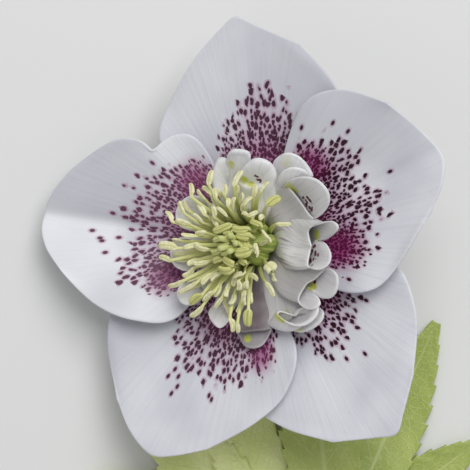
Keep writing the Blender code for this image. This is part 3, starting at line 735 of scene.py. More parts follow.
# two-lipped pouches. Each rim is a loop of picture points with heights, from the middle of the
# inner lip, clockwise as seen from above. Tone is how dark the wall towards the stamens and the
# rest are: painted shade where stamens and neighbours shade the pouch, over a lilac tint of its
# own. Sink is how low that wall's knee is, belly how far the sides swell, stripes how strong its
# veins are, and sag how far it is pulled, in pixels and mm. A throat lines the pouch, that far below
# its rim. Marks and freckles are picture points with a height, a size in mm and a strength
nectaryRims = {
    "right": {
        "tone": (0.19, 0.40), "sink": 0.03, "belly": 0.3, "stripes": 1.0,
        "sag": (2.0, 0.0, 0.3), "marks": ((315, 234, 10.8, 0.9, 1.0), (317, 238, 10.4, 0.6, 1.0)),
        "freckles": ((312.5, 257, 9.8, 1.5, 1.0), (315, 250, 10.2, 0.9, 1.0)),
        "rim": ((311, 250, 10.6), (312, 245.5, 10.9), (310, 238.5, 10.8), (309.2, 232, 11),
                (313, 227.5, 11.6), (322, 223.8, 12.4), (331, 221.8, 13), (336.5, 224.8, 13.3),
                (337.5, 229.5, 13.2), (333, 234.8, 12.4), (325.5, 239.5, 11.2), (319.5, 240.5, 10.3),
                (325.5, 244, 11.2), (330.3, 253, 12.6), (328.8, 262.5, 13), (322, 268.3, 12.9),
                (314, 268.5, 12.3), (308.5, 263.5, 11.3))},
    "upperRight": {
        "tone": (0.50, 0.22), "sink": 0.1, "belly": 0.25, "stripes": 0.35,
        "marks": ((290.5, 187, 11, 0.9, 1.0), (296, 190, 11, 0.5, 1.0)),
        "freckles": ((306, 201, 11, 1.2, 1.0), (310, 207, 11.2, 0.7, 1.0)),
        "rim": ((302.5, 203, 10.6), (295, 193.5, 10.9), (288, 185, 11.2), (290, 180.5, 12.2),
                (303, 177.5, 13.6), (317, 180.5, 14.2), (327, 191, 14), (328.5, 202, 13.2),
                (323.5, 211, 12.2), (316, 217, 11.2), (311, 215, 10.8), (307, 210, 10.6))},
    "topRightFront": {
        "tone": (0.16, 0.03), "sink": 0.12, "stripes": 0.15,
        "rim": ((290, 182, 10), (283, 182, 10.6), (279.5, 178, 11.6), (284, 171.5, 12.8),
                (294, 168, 13.4), (305, 171.5, 12.8), (306, 178, 11.4), (299, 182, 10.4))},
    "topRightBack": {
        "tone": (0.10, 0.0), "sink": 0.2, "stripes": 0.0, "throat": 1.0,
        "marks": ((288, 162, 10.5, 1.7, 0.5),),
        "rim": ((289, 168, 9), (280, 168, 9.8), (274.5, 163.5, 10.6), (279.5, 157.5, 11.4),
                (288, 154, 11.8), (297, 156.5, 11.8), (305, 163.5, 11.4), (311.5, 175, 10.4),
                (304, 175, 9.2), (297, 171, 8.8))},
    "topMiddle": {
        "tone": (0.0, 0.0), "sink": 0.06, "belly": 0.1, "stripes": 0.2, "throat": 0.9,
        "marks": ((245, 180, 10.8, 0.9, 1.0), (250, 184, 10.6, 0.7, 1.0)),
        "freckles": ((259, 178, 11.2, 0.7, 1.0),),
        "rim": ((253, 187, 10.6), (245, 186, 10.7), (238.5, 181, 11.1), (240, 173, 12),
                (246, 165.5, 12.8), (256, 159.5, 13.4), (266.5, 161.5, 13.2), (273, 168, 12.6),
                (275, 177, 11.9), (271, 184, 11.2), (262, 186, 10.8))},
    "topLeft": {
        "tone": (0.06, 0.0), "sink": 0.2, "stripes": 0.5, "throat": 1.2,
        "marks": ((232, 164.5, 10.4, 0.75, 1.0),),
        "rim": ((232, 169, 10), (227.5, 164, 10.4), (228.5, 156, 11.4), (233, 151, 12.2),
                (241, 150.5, 12.4), (248, 153, 12.2), (248.5, 160, 11.4), (243, 167, 10.4),
                (237, 169.5, 10))},
    "lowerRight": {
        "tone": (0.54, 0.18), "sink": 0.25, "belly": 0.05, "stripes": 0.3,
        "sag": (-2.0, 2.0, -0.2), "marks": ((308.5, 286.5, 10.3, 0.9, 1.0), (313, 287, 10.3, 0.6, 1.0)),
        "freckles": ((312, 283, 10.5, 0.4, 1.0),),
        "rim": ((305, 288.5, 10.2), (308, 284.5, 10.4), (315, 280.5, 10.8), (323, 272.5, 11.4),
                (331, 270.5, 12), (337, 277, 12.4), (336.5, 289, 12.2), (330, 297.5, 11.4),
                (320, 296.5, 10.4), (314, 290.5, 9.8), (318, 296.5, 10.2), (320, 303, 10.8),
                (313.5, 308.5, 11), (304, 307, 10.6), (299.5, 300, 10.2), (302, 293, 10.1))},
    "bottomRight": {
        "tone": (0.38, 0.18), "sink": 0.3, "belly": -0.1, "stripes": 0.3,
        "sag": (-3.0, 22.0, -0.3), "marks": ((279.5, 314.5, 9.5, 1.2, 1.0), (283, 318.5, 9.6, 0.8, 1.0)),
        "rim": ((290, 315, 9.2), (296, 316, 9.4), (300.5, 311, 9.8), (309, 307.5, 10.4),
                (317, 307.5, 10.8), (316, 315.5, 11), (308, 323, 11), (299, 325.5, 10.8),
                (290, 323.5, 10.4), (282, 319, 9.8), (278.5, 315, 9.4), (281.5, 312.5, 9.2))},
    "bottomRightBack": {
        "tone": (0.46, 0.34), "sink": 0.45, "stripes": 0.0,
        "marks": ((299, 329, 8.6, 0.8, 1.0),),
        "rim": ((305, 323, 7.8), (312, 317, 8.2), (318, 311, 9), (323, 313, 9.6), (321, 321, 9.8),
                (314, 327, 9.6), (305, 331, 9.2), (297, 331.5, 8.6), (295, 328, 8.1), (299, 325, 7.8))},
    "bottom": {
        "tone": (1.0, 0.75), "sink": 0.25, "stripes": 0.3,
        "marks": ((247.5, 338.5, 7.4, 0.75, 1.0),),
        "rim": ((254, 332, 8.4), (263, 331, 8.2), (270, 330, 7.7), (266.5, 338, 7.3), (261, 345, 7.5),
                (252.5, 347.5, 7.6), (245, 345, 7.4), (241, 338.5, 7.3), (237.5, 332, 7.8),
                (245, 333, 8.3))},
    "bottomLeft": {
        "tone": (0.30, 0.20), "sink": 0.25, "stripes": 0.2,
        "rim": ((220, 308, 8.6), (228, 311, 8.8), (227, 321, 9.8), (220, 327, 10.4), (214, 323, 10.2),
                (209.5, 314, 9.4), (213, 307.5, 8.8))},
    "leftLow": {
        "tone": (0.22, 0.11), "sink": 0.25, "stripes": 0.2,
        "rim": ((200, 287, 8.8), (203, 295, 9), (194, 303.5, 9.8), (183, 303, 10.4), (178, 294, 10.4),
                (181, 286, 10), (191, 283, 9.2))},
    "left": {
        "tone": (0.30, 0.26), "sink": 0.25, "stripes": 0.3,
        "freckles": ((192, 244, 9.6, 0.6, 1.0),),
        "rim": ((196, 254, 8.6), (195, 265, 8.8), (186, 270, 9.6), (175, 265, 10.2), (171, 254, 10.4),
                (173, 243, 10.2), (183, 238.5, 9.8), (193, 243, 9))},
    "upperLeft": {
        "tone": (0.07, 0.0), "sink": 0.25, "stripes": 0.3,
        "rim": ((208, 216, 9), (202, 223, 9), (192, 229, 9.8), (180, 225, 10.8), (176.5, 213, 11.2),
                (182, 202, 11.2), (193, 196.5, 11), (205, 202, 10))},
    "leftTop": {
        "tone": (0.18, 0.12), "sink": 0.25, "stripes": 0.4, "throat": 1.0,
        "rim": ((228, 190, 8.8), (221, 195, 9), (215, 190, 9.6), (213.5, 180, 10), (214.5, 169, 10.4),
                (218, 160, 10.6), (226, 160, 10.4), (232, 171, 9.6))},
}
plainRim = {"belly": 0.0, "throat": 0.0, "sag": (0.0, 0.0, 0.0), "marks": (), "freckles": ()}


def buildNectary(look):
    rim = [inBloom(*point) for point in look["rim"]]
    count = nectaries["around"]
    loop = [Vector(alongCurve(rim, step / count, closed=True)) for step in range(count)]
    centre = sum(loop, Vector()) / count
    outward, left = levelWays(math.atan2(centre.y, centre.x))
    inner = loop[0]
    outer = centre * 2.0 - inner
    width = max(abs((point - centre).dot(left)) for point in loop)
    foot = outward * nectaries["footRadius"] + up * nectaries["footHeight"]
    nearFoot = foot - outward * nectaries["footDepth"] + up * nectaries["footRise"]
    farFoot = foot + outward * nectaries["footDepth"]
    nearKnee = (outward * mix(nectaries["footRadius"], inner.xy.length, nectaries["nearKnee"])
                + up * mix(inner.z, nectaries["footHeight"], look["sink"]))
    kneeOut, kneeUp = nectaries["farKnee"]
    farKnee = (outward * mix(nectaries["footRadius"], outer.xy.length, kneeOut)
               + up * mix(nectaries["footHeight"], outer.z, kneeUp))
    throat = inner.lerp(centre, nectaries["throatPlace"])
    throat.z = inner.z - look["throat"]
    middle = look["rim"][0]
    sag = inBloom(*(at + shift for at, shift in zip(middle, look["sag"]))) - inBloom(*middle)
    marks, freckles = [[(inBloom(*area[:3]), *area[3:]) for area in look[kind]]
                       for kind in ("marks", "freckles")]

    def nearness(place, fromInner, run, areas):
        # marks and freckles keep off the outside of the inner lip
        share = 0.0
        for middle, size, strength in areas:
            share = max(share, strength * bell((place.xy - middle.xy).length, 0.0, size))
        if run <= 1.0:
            share *= grown(fromInner, *nectaries["markGap"])
        return share * grown(run, *nectaries["markGrowth"])

    def squared(value):
        return math.copysign(abs(value) ** nectaries["squareness"], value)

    # a shallow pouch has a lining that closes it below its rim
    lining = nectaries["lining"] if look["throat"] else 0.0
    sheet = addSheet(count, nectaries["along"])
    wrap, mark, stripe, freckle, tone = [], [], [], [], []
    for vert in sheet.data.vertices:
        around, run = vert.co.x, vert.co.y * (1.0 + lining)
        along, fromInner = min(run, 1.0), min(around, 1.0 - around)
        turn = math.tau * around
        near = bezierPoint(nearFoot, nearKnee, inner, along)
        far = bezierPoint(farFoot, farKnee, outer, along)
        half = mix(nectaries["footWidth"], width, along ** nectaries["widening"])
        half *= 1.0 + look["belly"] * math.sin(math.pi * along)
        ring = (near - far) / 2.0 * squared(math.cos(turn)) + left * half * squared(math.sin(turn))
        edge = Vector(alongCurve(rim, around, closed=True)) - centre
        shown = grown(along, *nectaries["rimGrowth"])
        lip = 1.0 - nectaries["pinch"] * bell(along, *nectaries["pinchBand"])
        place = (near + far) / 2.0 + ring * (1.0 - shown) + edge * shown * lip
        place += sag * bell(along, *nectaries["sagBand"]) * easeStep((1.0 - along) / nectaries["sagEnd"])
        curl = nectaries["flare"] * max(along - nectaries["flareStart"], 0.0) ** 2
        place += edge.normalized() * curl - up * curl * 0.5
        inside = (run - along) / lining if lining else 0.0
        if inside > 0.0:
            edgeHeight = place.z
            place = place.lerp(throat, inside)
            place.z = mix(edgeHeight, throat.z, inside ** 1.7)
        vert.co = place
        outside = 0.5 + 0.5 * math.cos(turn) if inside == 0.0 else 0.0
        # tone is painted shade mixed with the pouch's own tint, fullest on the wall towards the stamens
        wallTintAndShade, lobeTintAndShade = look["tone"]
        wrap.append((around, along - 0.5 * inside))
        tone.append(mix(lobeTintAndShade, wallTintAndShade, outside))
        mark.append(nearness(place, fromInner, run, marks))
        freckle.append(nearness(place, fromInner, run, freckles))
        stripe.append(look["stripes"] * bell(fromInner, 0.0, nectaries["stripeWidth"])
                      * bell(run, *nectaries["stripeBand"]))
    setMap(sheet, "wrap", wrap)
    addShades(sheet, tone=tone, mark=mark, stripe=stripe, freckle=freckle)
    cleanMesh(sheet, 0.004)
    thickenSheet(sheet, nectaries["thickness"], 0)
    return sheet


def nectaryMaterial():
    material = newMaterial("nectary_finish", 0.42, skin=0.14, specular=0.35)
    wrap, place, tone = mapOf("wrap"), objectPlace(), shadeOf("tone")
    along = parted(wrap)[1]
    lines = grainLines(wrap, 40.0, 1.4, 3.0, 0.6)
    # painted shade: tone darkens the wall towards the stamens and the shaded pouches
    colour = blendColour(tone, nectaries["white"], nectaries["shadow"])
    colour = blendColour(fade(noise(place, 260.0, 2.0), 0.35, 0.7, 0.0, 0.25), colour, nectaries["patch"])
    streak = times(fade(lines, 0.46, 0.64), plus(times(shadeOf("stripe"), 0.8), 0.14))
    colour = blendColour(streak, colour, nectaries["streak"])
    colour = blendColour(fade(along, 0.28, 0.02, 0.0, 0.7), colour, nectaries["foot"])
    uneven = fade(noise(place, 900.0, 2.0), 0.3, 0.6, 0.6, 1.0)
    colour = blendColour(times(fade(shadeOf("mark"), 0.2, 0.75), uneven), colour, nectaries["mark"])
    dots = addNode("TexVoronoi", {"Vector": place, "Scale": 1350.0, "Randomness": 1.0})
    lot = parted(dots.outputs["Color"])[0]
    chance = fade(minus(shadeOf("freckle"), times(lot, 0.5)), 0.1, 0.25)
    dot = times(fade(dots.outputs["Distance"], 0.55, 0.42), chance)
    colour = blendColour(dot, colour, nectaries["freckle"])
    # painted highlight along the rim, where it would catch the light, less so on the shaded pouches
    rimLight = times(fade(along, 0.97, 0.995, 0.0, 0.5), fade(tone, 0.4, 1.0, 1.0, 0.3))
    addFinish(blendColour(rimLight, colour, nectaries["rim"]), lines, 0.08, 0.5)
    return material


nectaryPieces = [buildNectary({**plainRim, **look}) for look in nectaryRims.values()]
nectaryCluster = joinPieces(nectaryPieces + [addCollar(*nectaries["collar"])])
finishPiece(nectaryCluster, "nectary_cluster", bloomPlace, nectaryMaterial(), "nectary_petals")
print("nectaries done")


stamens = {
    "ringRadius": 2.9,
    "ringHeight": 4.9,
    "collar": (40, 2.9, 0.5, 4.85),
    "filamentWidth": 0.42,
    "filamentDepth": 0.20,
    "antherSwell": 2.6,          # an anther's width in filaments
    "neck": 0.72,                # where the filament ends, as a share of the length
    "knee": (0.42, 0.26),        # how far along it bends, and how high, as shares of its reach
    "antherTilt": 0.5,
    "extra": 60,
    "extraReach": (1.2, 7.0),
    "extraHeight": (14.6, 12.0),
    "spiral": 137.508,
    "seed": 5,
    "filamentFoot": srgb(138, 150, 58),
    "filamentTop": srgb(218, 220, 146),
    "filamentPale": srgb(222, 220, 172),
    "pollen": (srgb(240, 238, 200), srgb(222, 218, 166)),
    "groove": srgb(194, 192, 116),
    "green": (srgb(222, 222, 150), srgb(192, 192, 112)),
    "greenGroove": srgb(146, 148, 76),
}
# picture points of each anther's outer and inner end, its width in mm, and its height
ripeAnthers = (
    (212.5, 170, 209, 185, 1.15, 13.2), (190.5, 183, 191.5, 197, 0.95, 12.8),
    (179, 201, 184, 213, 0.9, 12.6), (166, 211, 173, 222, 0.95, 12.4), (202, 187, 210, 193, 0.9, 12.6),
    (214, 188, 216, 199, 0.9, 13.0), (224.5, 184.5, 224.5, 195, 0.95, 13.0),
    (228.5, 198, 228, 206, 0.85, 13.4), (242.5, 170.5, 234, 186, 1.05, 13.6),
    (269, 182, 261, 191, 0.6, 13.6), (252, 197, 244, 205, 0.85, 13.8),
    (258, 211.5, 248, 216, 0.8, 14.2), (242, 213, 247, 215, 0.7, 14.0),
    (264, 215.5, 260, 219, 0.9, 14.0), (291.5, 224, 277, 224, 0.75, 12.8),
    (158.5, 245, 177, 248, 1.5, 12.6), (159, 256.5, 171, 260.5, 1.0, 12.0),
    (168, 286, 183, 281, 0.9, 12.2), (178, 293.5, 196, 283, 0.85, 12.2),
    (190, 316.5, 202, 307, 1.0, 12.2), (203.5, 301, 214.5, 291.5, 0.9, 12.8),
    (214.5, 308, 222, 298, 0.8, 12.6), (227, 290, 226, 298, 0.85, 13.2),
    (238.5, 290.5, 238.5, 281, 1.0, 13.8), (247, 289, 246.5, 281.5, 1.1, 13.8),
    (245, 305.5, 245, 291, 0.9, 13.0), (233, 332, 230, 318, 1.1, 12.2),
    (238, 333, 237.5, 323, 0.8, 12.2), (274, 297, 266.5, 283, 0.9, 12.6),
    (276.5, 281.5, 273, 275.5, 0.7, 12.4), (266, 264, 274, 272, 2.1, 13.6),
    (233, 277.5, 245, 273, 0.95, 13.8), (255, 243, 257.5, 256, 0.85, 15.0),
    (262, 230, 271, 241, 0.85, 14.6),
)
greenAnthers = (
    (280.5, 197, 267, 205, 1.6, 13.8), (190, 304, 202, 295, 1.5, 12.2),
    (248, 326.5, 248.5, 309.5, 1.6, 12.6), (213, 231.5, 231, 224.5, 1.35, 14.2),
    (232, 228, 249, 229, 1.3, 14.9), (236, 234.5, 252, 236.5, 1.5, 15.0),
    (235, 253, 252, 249.5, 1.9, 15.2), (223, 258, 236, 266, 1.3, 14.8),
    (218.5, 268, 233, 269.5, 1.5, 14.6), (239, 259, 247, 264.5, 1.2, 14.4),
    (246, 241, 252.5, 248.5, 1.35, 14.6), (240.5, 239.5, 244.5, 247.5, 0.95, 14.6),
    (224, 240.5, 232, 237, 0.65, 15.0), (231, 239.5, 238.5, 243.5, 0.65, 15.1),
    (218, 246, 229, 243, 0.75, 14.8), (226.5, 250.5, 235, 247.5, 0.85, 15.0),
    (223, 233.5, 231.5, 231.5, 0.6, 14.9), (225, 236.5, 232, 234.5, 0.6, 14.9),
    (211, 252, 221, 250, 1.1, 13.6), (213, 262, 222, 259, 1.1, 13.8), (250, 221, 262, 226, 1.0, 14.0),
    (221, 254, 229, 252.5, 0.75, 14.7), (240, 249, 247, 245, 0.9, 14.7),
    (213, 241, 222, 238.5, 0.95, 14.2),
)


def stamenModel():
    # a straight stamen one unit long: a flat filament, then an anther with a groove down each face
    model = raiseCircle(12, (
        (0.0, 1.0, 1.0), (0.12, 1.0, 1.0), (0.25, 1.0, 1.0), (0.38, 0.95, 1.0), (0.5, 0.88, 1.0),
        (0.60, 0.75, 0.95), (0.68, 0.58, 0.85), (0.718, 0.7, 0.9), (0.735, 1.9, 1.6), (0.77, 2.45, 2.05),
        (0.82, 2.6, 2.2), (0.87, 2.6, 2.2), (0.92, 2.55, 2.2), (0.96, 2.3, 2.0), (0.985, 1.7, 1.6),
        (1.0, 0.8, 0.8)))
    # two pollen sacs: the anther is pinched along its middle
    for vert in model.data.vertices:
        if vert.co.z > 0.73:
            vert.co.y *= 0.62 + 0.55 * min(abs(vert.co.x) / 1.4, 1.0)
    return model


def placeStamen(model, outer, inner, width, seed, ripeness):
    draw = random.Random(seed)
    azimuth = math.atan2(inner.y - 0.4, inner.x - 1.0) + draw.uniform(-0.12, 0.12)
    ring = stamens["ringRadius"] + draw.uniform(-0.4, 0.5)
    root = Vector((math.cos(azimuth) * ring, math.sin(azimuth) * ring, stamens["ringHeight"]))
    reach = (inner - root).length
    kneePlace, kneeRise = stamens["knee"]
    knee = root.lerp(inner, kneePlace)
    knee += Vector((draw.uniform(-0.6, 0.6), draw.uniform(-0.6, 0.6), kneeRise * reach))
    copy = addObject("stamen", model.data.copy())
    neck = stamens["neck"]
    grain, tint = [], draw.random()
    lean, twist, bend = draw.uniform(-0.5, 0.5), draw.uniform(-0.7, 0.7), draw.uniform(-0.16, 0.16)
    fatness = width / (2 * stamens["antherSwell"] * stamens["filamentWidth"])
    for vert in copy.data.vertices:
        share = vert.co.z
        grain.append((0.5 + 0.15 * vert.co.x, share))
        if share <= neck:
            t = share / neck
            middle = bezierPoint(root, knee, inner, t)
            ahead = (knee - root) * (1 - t) + (inner - knee) * t
            scale, roll = 1.0, lean
        else:
            t = (share - neck) / (1.0 - neck)
            middle = inner.lerp(outer, t)
            ahead = mixDirection(inner - knee, outer - inner, min(t * 4, 1.0))
            scale, roll = fatness, lean + twist * t
        ahead = ahead.normalized()
        across = ahead.cross(up)
        if across.length < 0.15:
            across = ahead.cross(Vector((0.0, 1.0, 0.0)))
        across.normalize()
        lift = across.cross(ahead)
        turned = across * math.cos(roll) + lift * math.sin(roll)
        lifted = lift * math.cos(roll) - across * math.sin(roll)
        if share > neck:
            middle = middle + across * bend * width * 2.0 * math.sin(math.pi * t)
        vert.co = (middle + turned * vert.co.x * stamens["filamentWidth"] * scale
                   + lifted * vert.co.y * stamens["filamentDepth"] * mix(1.0, scale, 0.6))
    setMap(copy, "grain", grain)
    addShades(copy, ripe=ripeness, tint=tint)
    return copy


def stamenMaterial():
    material = newMaterial("stamen_finish", 0.5, skin=0.2, skinDepth=0.5)
    grain = mapOf("grain")
    across, along, _ = parted(grain)
    filament = blendColour(fade(along, 0.0, 0.6), stamens["filamentFoot"], stamens["filamentTop"])
    filament = blendColour(times(shadeOf("tint"), 0.5), filament, stamens["filamentPale"])
    dust = noise(objectPlace(), 1800.0)
    grooves = fade(calc("ABSOLUTE", minus(across, 0.5)), 0.02, 0.10, 0.6, 0.0)
    pollen = blendColour(fade(dust, 0.35, 0.65), *stamens["pollen"])
    pollen = blendColour(grooves, pollen, stamens["groove"])
    green = blendColour(fade(grainLines(grain, 16.0, 5.0), 0.35, 0.65), *stamens["green"])
    green = blendColour(times(grooves, 0.9), green, stamens["greenGroove"])
    anther = blendColour(shadeOf("ripe"), green, pollen)
    addFinish(blendColour(fade(along, 0.715, 0.75), filament, anther), dust, 0.08, 0.7)
    return material


def buildStamens():
    model = stamenModel()
    made = []
    for ripeness, places in ((1.0, ripeAnthers), (0.0, greenAnthers)):
        for x1, y1, x2, y2, width, lift in places:
            outer, inner = inBloom(x1, y1, lift), inBloom(x2, y2, lift + stamens["antherTilt"])
            made.append(placeStamen(model, outer, inner, width, len(made), ripeness))
    # a spiral of shorter ones fills the brush beneath, thinner towards the right
    draw = random.Random(stamens["seed"])
    for number in range(stamens["extra"]):
        azimuth = math.radians(number * stamens["spiral"])
        reach = mix(*stamens["extraReach"], ((number + 0.5) / stamens["extra"]) ** 0.8)
        reach *= draw.uniform(0.85, 1.1)
        drop, swayX, swayY, rise = (draw.uniform(0.6, 2.0), draw.uniform(-0.5, 0.5),
                                    draw.uniform(-0.5, 0.5), draw.uniform(-0.2, 0.8))
        length, width = draw.uniform(1.8, 2.6), draw.uniform(0.7, 1.1)
        if math.cos(azimuth) > 0.45 and reach > 1.6:
            continue
        out = levelWays(azimuth)[0]
        inner = out * (stamens["ringRadius"] + reach) + Vector((-1.2, -1.0, 0.0)) * reach / 7.2
        inner.z = mix(*stamens["extraHeight"], reach / 7.5) - drop
        outer = inner + (out + Vector((swayX, swayY, rise))).normalized() * length
        made.append(placeStamen(model, outer, inner, width, 100 + number, 1.0))
    made.append(addCollar(*stamens["collar"]))
    bpy.data.objects.remove(model)
    return joinPieces(made)


finishPiece(buildStamens(), "stamen_brush", bloomPlace, stamenMaterial(), "stamens")
print("stamens done")


# carpels: ribbed green ovaries, each drawn out into a style with a pale tip
carpels = {
    "count": 5,
    "shift": 1.8,
    "ring": 1.2,
    "foot": 5.6,
    "height": 11.0,
    "radius": 1.85,
    "swell": 0.88,
    "bow": -2.2,
    "flare": 0.9,
    "sides": 24,
    "ball": (24, 12, 1.9, 6.2),
    "green": (srgb(132, 152, 62), srgb(186, 194, 106)),
    "tip": srgb(204, 210, 138),
    # heights and widths, as shares
    "profile": ((0.0, 0.55), (0.06, 0.72), (0.14, 0.85), (0.24, 0.95), (0.34, 1.0), (0.42, 0.98),
                (0.5, 0.86), (0.56, 0.66), (0.62, 0.42), (0.68, 0.3), (0.78, 0.26), (0.88, 0.25),
                (0.95, 0.28), (1.0, 0.2)),
}


def buildCarpel(azimuth):
    profile = carpels["profile"]
    carpel = raiseCircle(carpels["sides"], [(height, width, width) for height, width in profile])
    out, side = levelWays(azimuth)
    grain = []
    for vert in carpel.data.vertices:
        share = vert.co.z
        turn = math.atan2(vert.co.y, vert.co.x)
        rib = 1.0 + 0.05 * math.cos(turn * 8.0) * bell(share, 0.3, 0.2)
        seam = 1.0 + 0.10 * max(math.cos(turn), 0.0) ** 8 * bell(share, 0.3, 0.22)
        swell = carpels["swell"] * math.sin(math.pi * min(share * 1.6, 1.0))
        bow = carpels["bow"] * max(share - 0.35, 0.0) / 0.65
        flare = carpels["flare"] * max(share - 0.8, 0.0) / 0.2
        middle = out * (carpels["ring"] + swell - 0.6 * share + flare)
        middle += Vector((carpels["shift"] + bow, 0.0, carpels["foot"] + share * carpels["height"]))
        grain.append((0.5 + turn / math.tau, share))
        size = carpels["radius"] * profile[0][1] * rib * seam
        vert.co = middle + (out * vert.co.x + side * vert.co.y) * size
    setMap(carpel, "grain", grain)
    return carpel


def carpelMaterial():
    material = newMaterial("carpel_finish", 0.4, skin=0.15, skinDepth=0.5)
    grain = mapOf("grain")
    lines = grainLines(grain, 30.0, 1.5)
    colour = blendColour(fade(lines, 0.4, 0.62), *carpels["green"])
    colour = blendColour(fade(parted(grain)[1], 0.55, 0.9), colour, carpels["tip"])
    addFinish(colour, lines, 0.1)
    return material


carpelPieces = [buildCarpel(math.tau * number / carpels["count"]) for number in range(carpels["count"])]
carpelCluster = joinPieces(carpelPieces + [addBall(*carpels["ball"])])
finishPiece(carpelCluster, "carpel_cluster", bloomPlace, carpelMaterial(), "carpels")
print("carpels done")


# stem: middle lines as (x, y, z, radius) from the bloom's centre, laid on the surface. The
# receptacle's profile is (radius, height), and the neck's line (height, radius), in the bloom's frame
stem = {
    "receptacle": ((1.6, -5.5), (1.9, -4.2), (2.4, -3.0), (3.5, -1.8), (4.5, -0.9), (4.7, -0.5),
                   (4.3, -0.15), (2.4, 0.0), (1.8, 0.4), (1.75, 2.6), (1.7, 5.1), (0.8, 5.3)),
    "neck": ((-3.5, 1.6), (-5.6, 1.6)),
    "pedicel": ((2.9, -2.6, 3.3, 1.6), (4.2, -6.0, 2.1, 1.6), (5.6, -13.0, 1.5, 1.6),
                (7.0, -28.0, 1.55, 1.7), (8.6, -46.0, 1.9, 1.9), (9.3, -56.0, 2.4, 2.5)),
    "main": ((9.3, -56.0, 2.4, 2.6), (10.2, -70.0, 2.6, 2.8), (12.0, -95.0, 2.6, 2.8),
             (14.5, -122.0, 2.6, 2.8), (15.6, -133.0, 2.6, 2.9)),
    "budStalk": ((9.4, -58.0, 2.6, 1.9), (15.0, -55.5, 2.6, 1.5), (24.0, -54.0, 3.2, 1.2),
                 (32.0, -51.5, 4.6, 1.2), (37.5, -48.8, 5.4, 1.4), (40.2, -47.6, 5.7, 1.4)),
    "grid": 0.42,
    "green": (srgb(126, 150, 62), srgb(164, 182, 92)),
    "maroon": srgb(128, 76, 72),
    "dot": srgb(104, 44, 56),
}


def tubeAlong(name, path, steps):
    data = bpy.data.curves.new(name, "CURVE")
    data.dimensions = "3D"
    data.bevel_depth = 1.0
    data.bevel_resolution = 6
    data.use_fill_caps = True
    spline = data.splines.new("POLY")
    spline.points.add(steps)
    for number, point in enumerate(spline.points):
        x, y, z, radius = alongCurve(path, number / steps)
        point.co = (x, y, z, 1.0)
        point.radius = radius
    selectOnly(addObject(name, data))
    bpy.ops.object.convert(target="MESH")
    return bpy.context.object


def buildReceptacle():
    deselectAll()
    bpy.ops.mesh.primitive_cylinder_add(vertices=40, radius=1.0, depth=1.0, end_fill_type="NGON")
    turned = bpy.context.object
    profile = stem["receptacle"]
    bpy.ops.object.mode_set(mode="EDIT")
    bpy.ops.mesh.select_all(action="DESELECT")
    bpy.ops.object.mode_set(mode="OBJECT")
    for face in turned.data.polygons:
        face.select = face.normal.z > 0.5
    for vert in turned.data.vertices:
        radius, height = profile[1] if vert.co.z > 0 else profile[0]
        vert.co = (vert.co.x * radius, vert.co.y * radius, height)
    bpy.ops.object.mode_set(mode="EDIT")
    extrudeProfile([(height, radius, radius) for radius, height in profile[1:]])
    bpy.ops.object.mode_set(mode="OBJECT")
    turned.data.transform(bloomOnPlant)
    return turned


def buildStem():
    neck = [(*(bloomOnPlant @ (up * height)), radius) for height, radius in stem["neck"]]
    whole = joinPieces([tubeAlong("mainStem", stem["main"], 40),
                        tubeAlong("pedicel", (*neck, *stem["pedicel"]), 60),
                        tubeAlong("budStalk", stem["budStalk"], 30), buildReceptacle()])
    cleanMesh(whole)
    useModifier(whole, "REMESH", mode="VOXEL", voxel_size=stem["grid"], adaptivity=0.0)
    useModifier(whole, "SMOOTH", factor=0.5, iterations=5)
    for vert in whole.data.vertices:
        vert.co.z = max(vert.co.z, 0.0)
    return whole


def stemMaterial():
    material = newMaterial("stem_finish", 0.42, skin=0.1, skinDepth=0.5)
    place = objectPlace()
    streaks = noise(stretched(place, (1.0, 0.06, 1.0)), 900.0)
    colour = blendColour(fade(streaks, 0.35, 0.7), *stem["green"])
    colour = blendColour(fade(noise(place, 90.0), 0.48, 0.72, 0.0, 0.55), colour, stem["maroon"])
    dots = addNode("TexVoronoi", {"Vector": stretched(place, (1.0, 0.5, 1.0)), "Scale": 900.0,
                                  "Randomness": 1.0})
    lot = parted(dots.outputs["Color"])[0]
    dot = times(fade(dots.outputs["Distance"], 0.3, 0.2), fade(lot, 0.62, 0.66))
    addFinish(blendColour(times(dot, 0.7), colour, stem["dot"]), streaks, 0.12)
    return material


finishPiece(buildStem(), "flower_stem", plantPlace, stemMaterial(), "stem")
print("stem done")


# bracts: each has its base, how much it takes the lit copy of the colours over the shaded copy
# (painted light and painted shade), the middle and size of the clasp that holds the stem, and
# leaflets with their azimuth, length, half width and heights along them
bracts = {
    "thickness": 0.5,
    "fold": 0.16,
    "teeth": 13,
    "toothDepth": 0.13,
    "toothGrowth": (0.12, 0.15),
    "toothLean": 0.18,
    "quilt": 0.06,
    "foot": 1.2,
    "tip": 0.35,
    "columns": 18,
    "rows": 104,
    "leaves": {
        "bract_left": ((5.2, -55.0), 1.0, ((5.6, -55.1, 3.35), (2.4, 1.5, 0.6)), (
            (112.0, 45.0, 6.8, (3.6, 2.0, 0.9, 0.9, 1.8)),
            (134.0, 40.0, 7.0, (3.6, 1.7, 0.45, 0.7, 2.0)),
            (157.0, 38.0, 6.0, (3.6, 1.5, 0.5, 1.2, 2.8)))),
        "bract_right": ((12.4, -54.0), 0.0, ((12.2, -54.2, 4.9), (2.5, 1.5, 0.7)), (
            (96.0, 42.0, 7.5, (5.3, 5.1, 4.8, 4.5, 4.4)),
            (66.0, 44.0, 6.5, (5.3, 3.2, 1.2, 0.8, 1.9)),
            (38.0, 32.0, 5.5, (5.3, 2.8, 0.5, 0.8, 2.2)))),
    },
    # a lit and a shaded copy of the bract colours, painted light and painted shade: the left bract takes
    # the lit one, the right bract the shaded one
    "light": (srgb(228, 238, 152), srgb(241, 245, 180)),
    "dark": (srgb(162, 178, 90), srgb(182, 195, 108)),
    "vein": srgb(230, 234, 178),
}


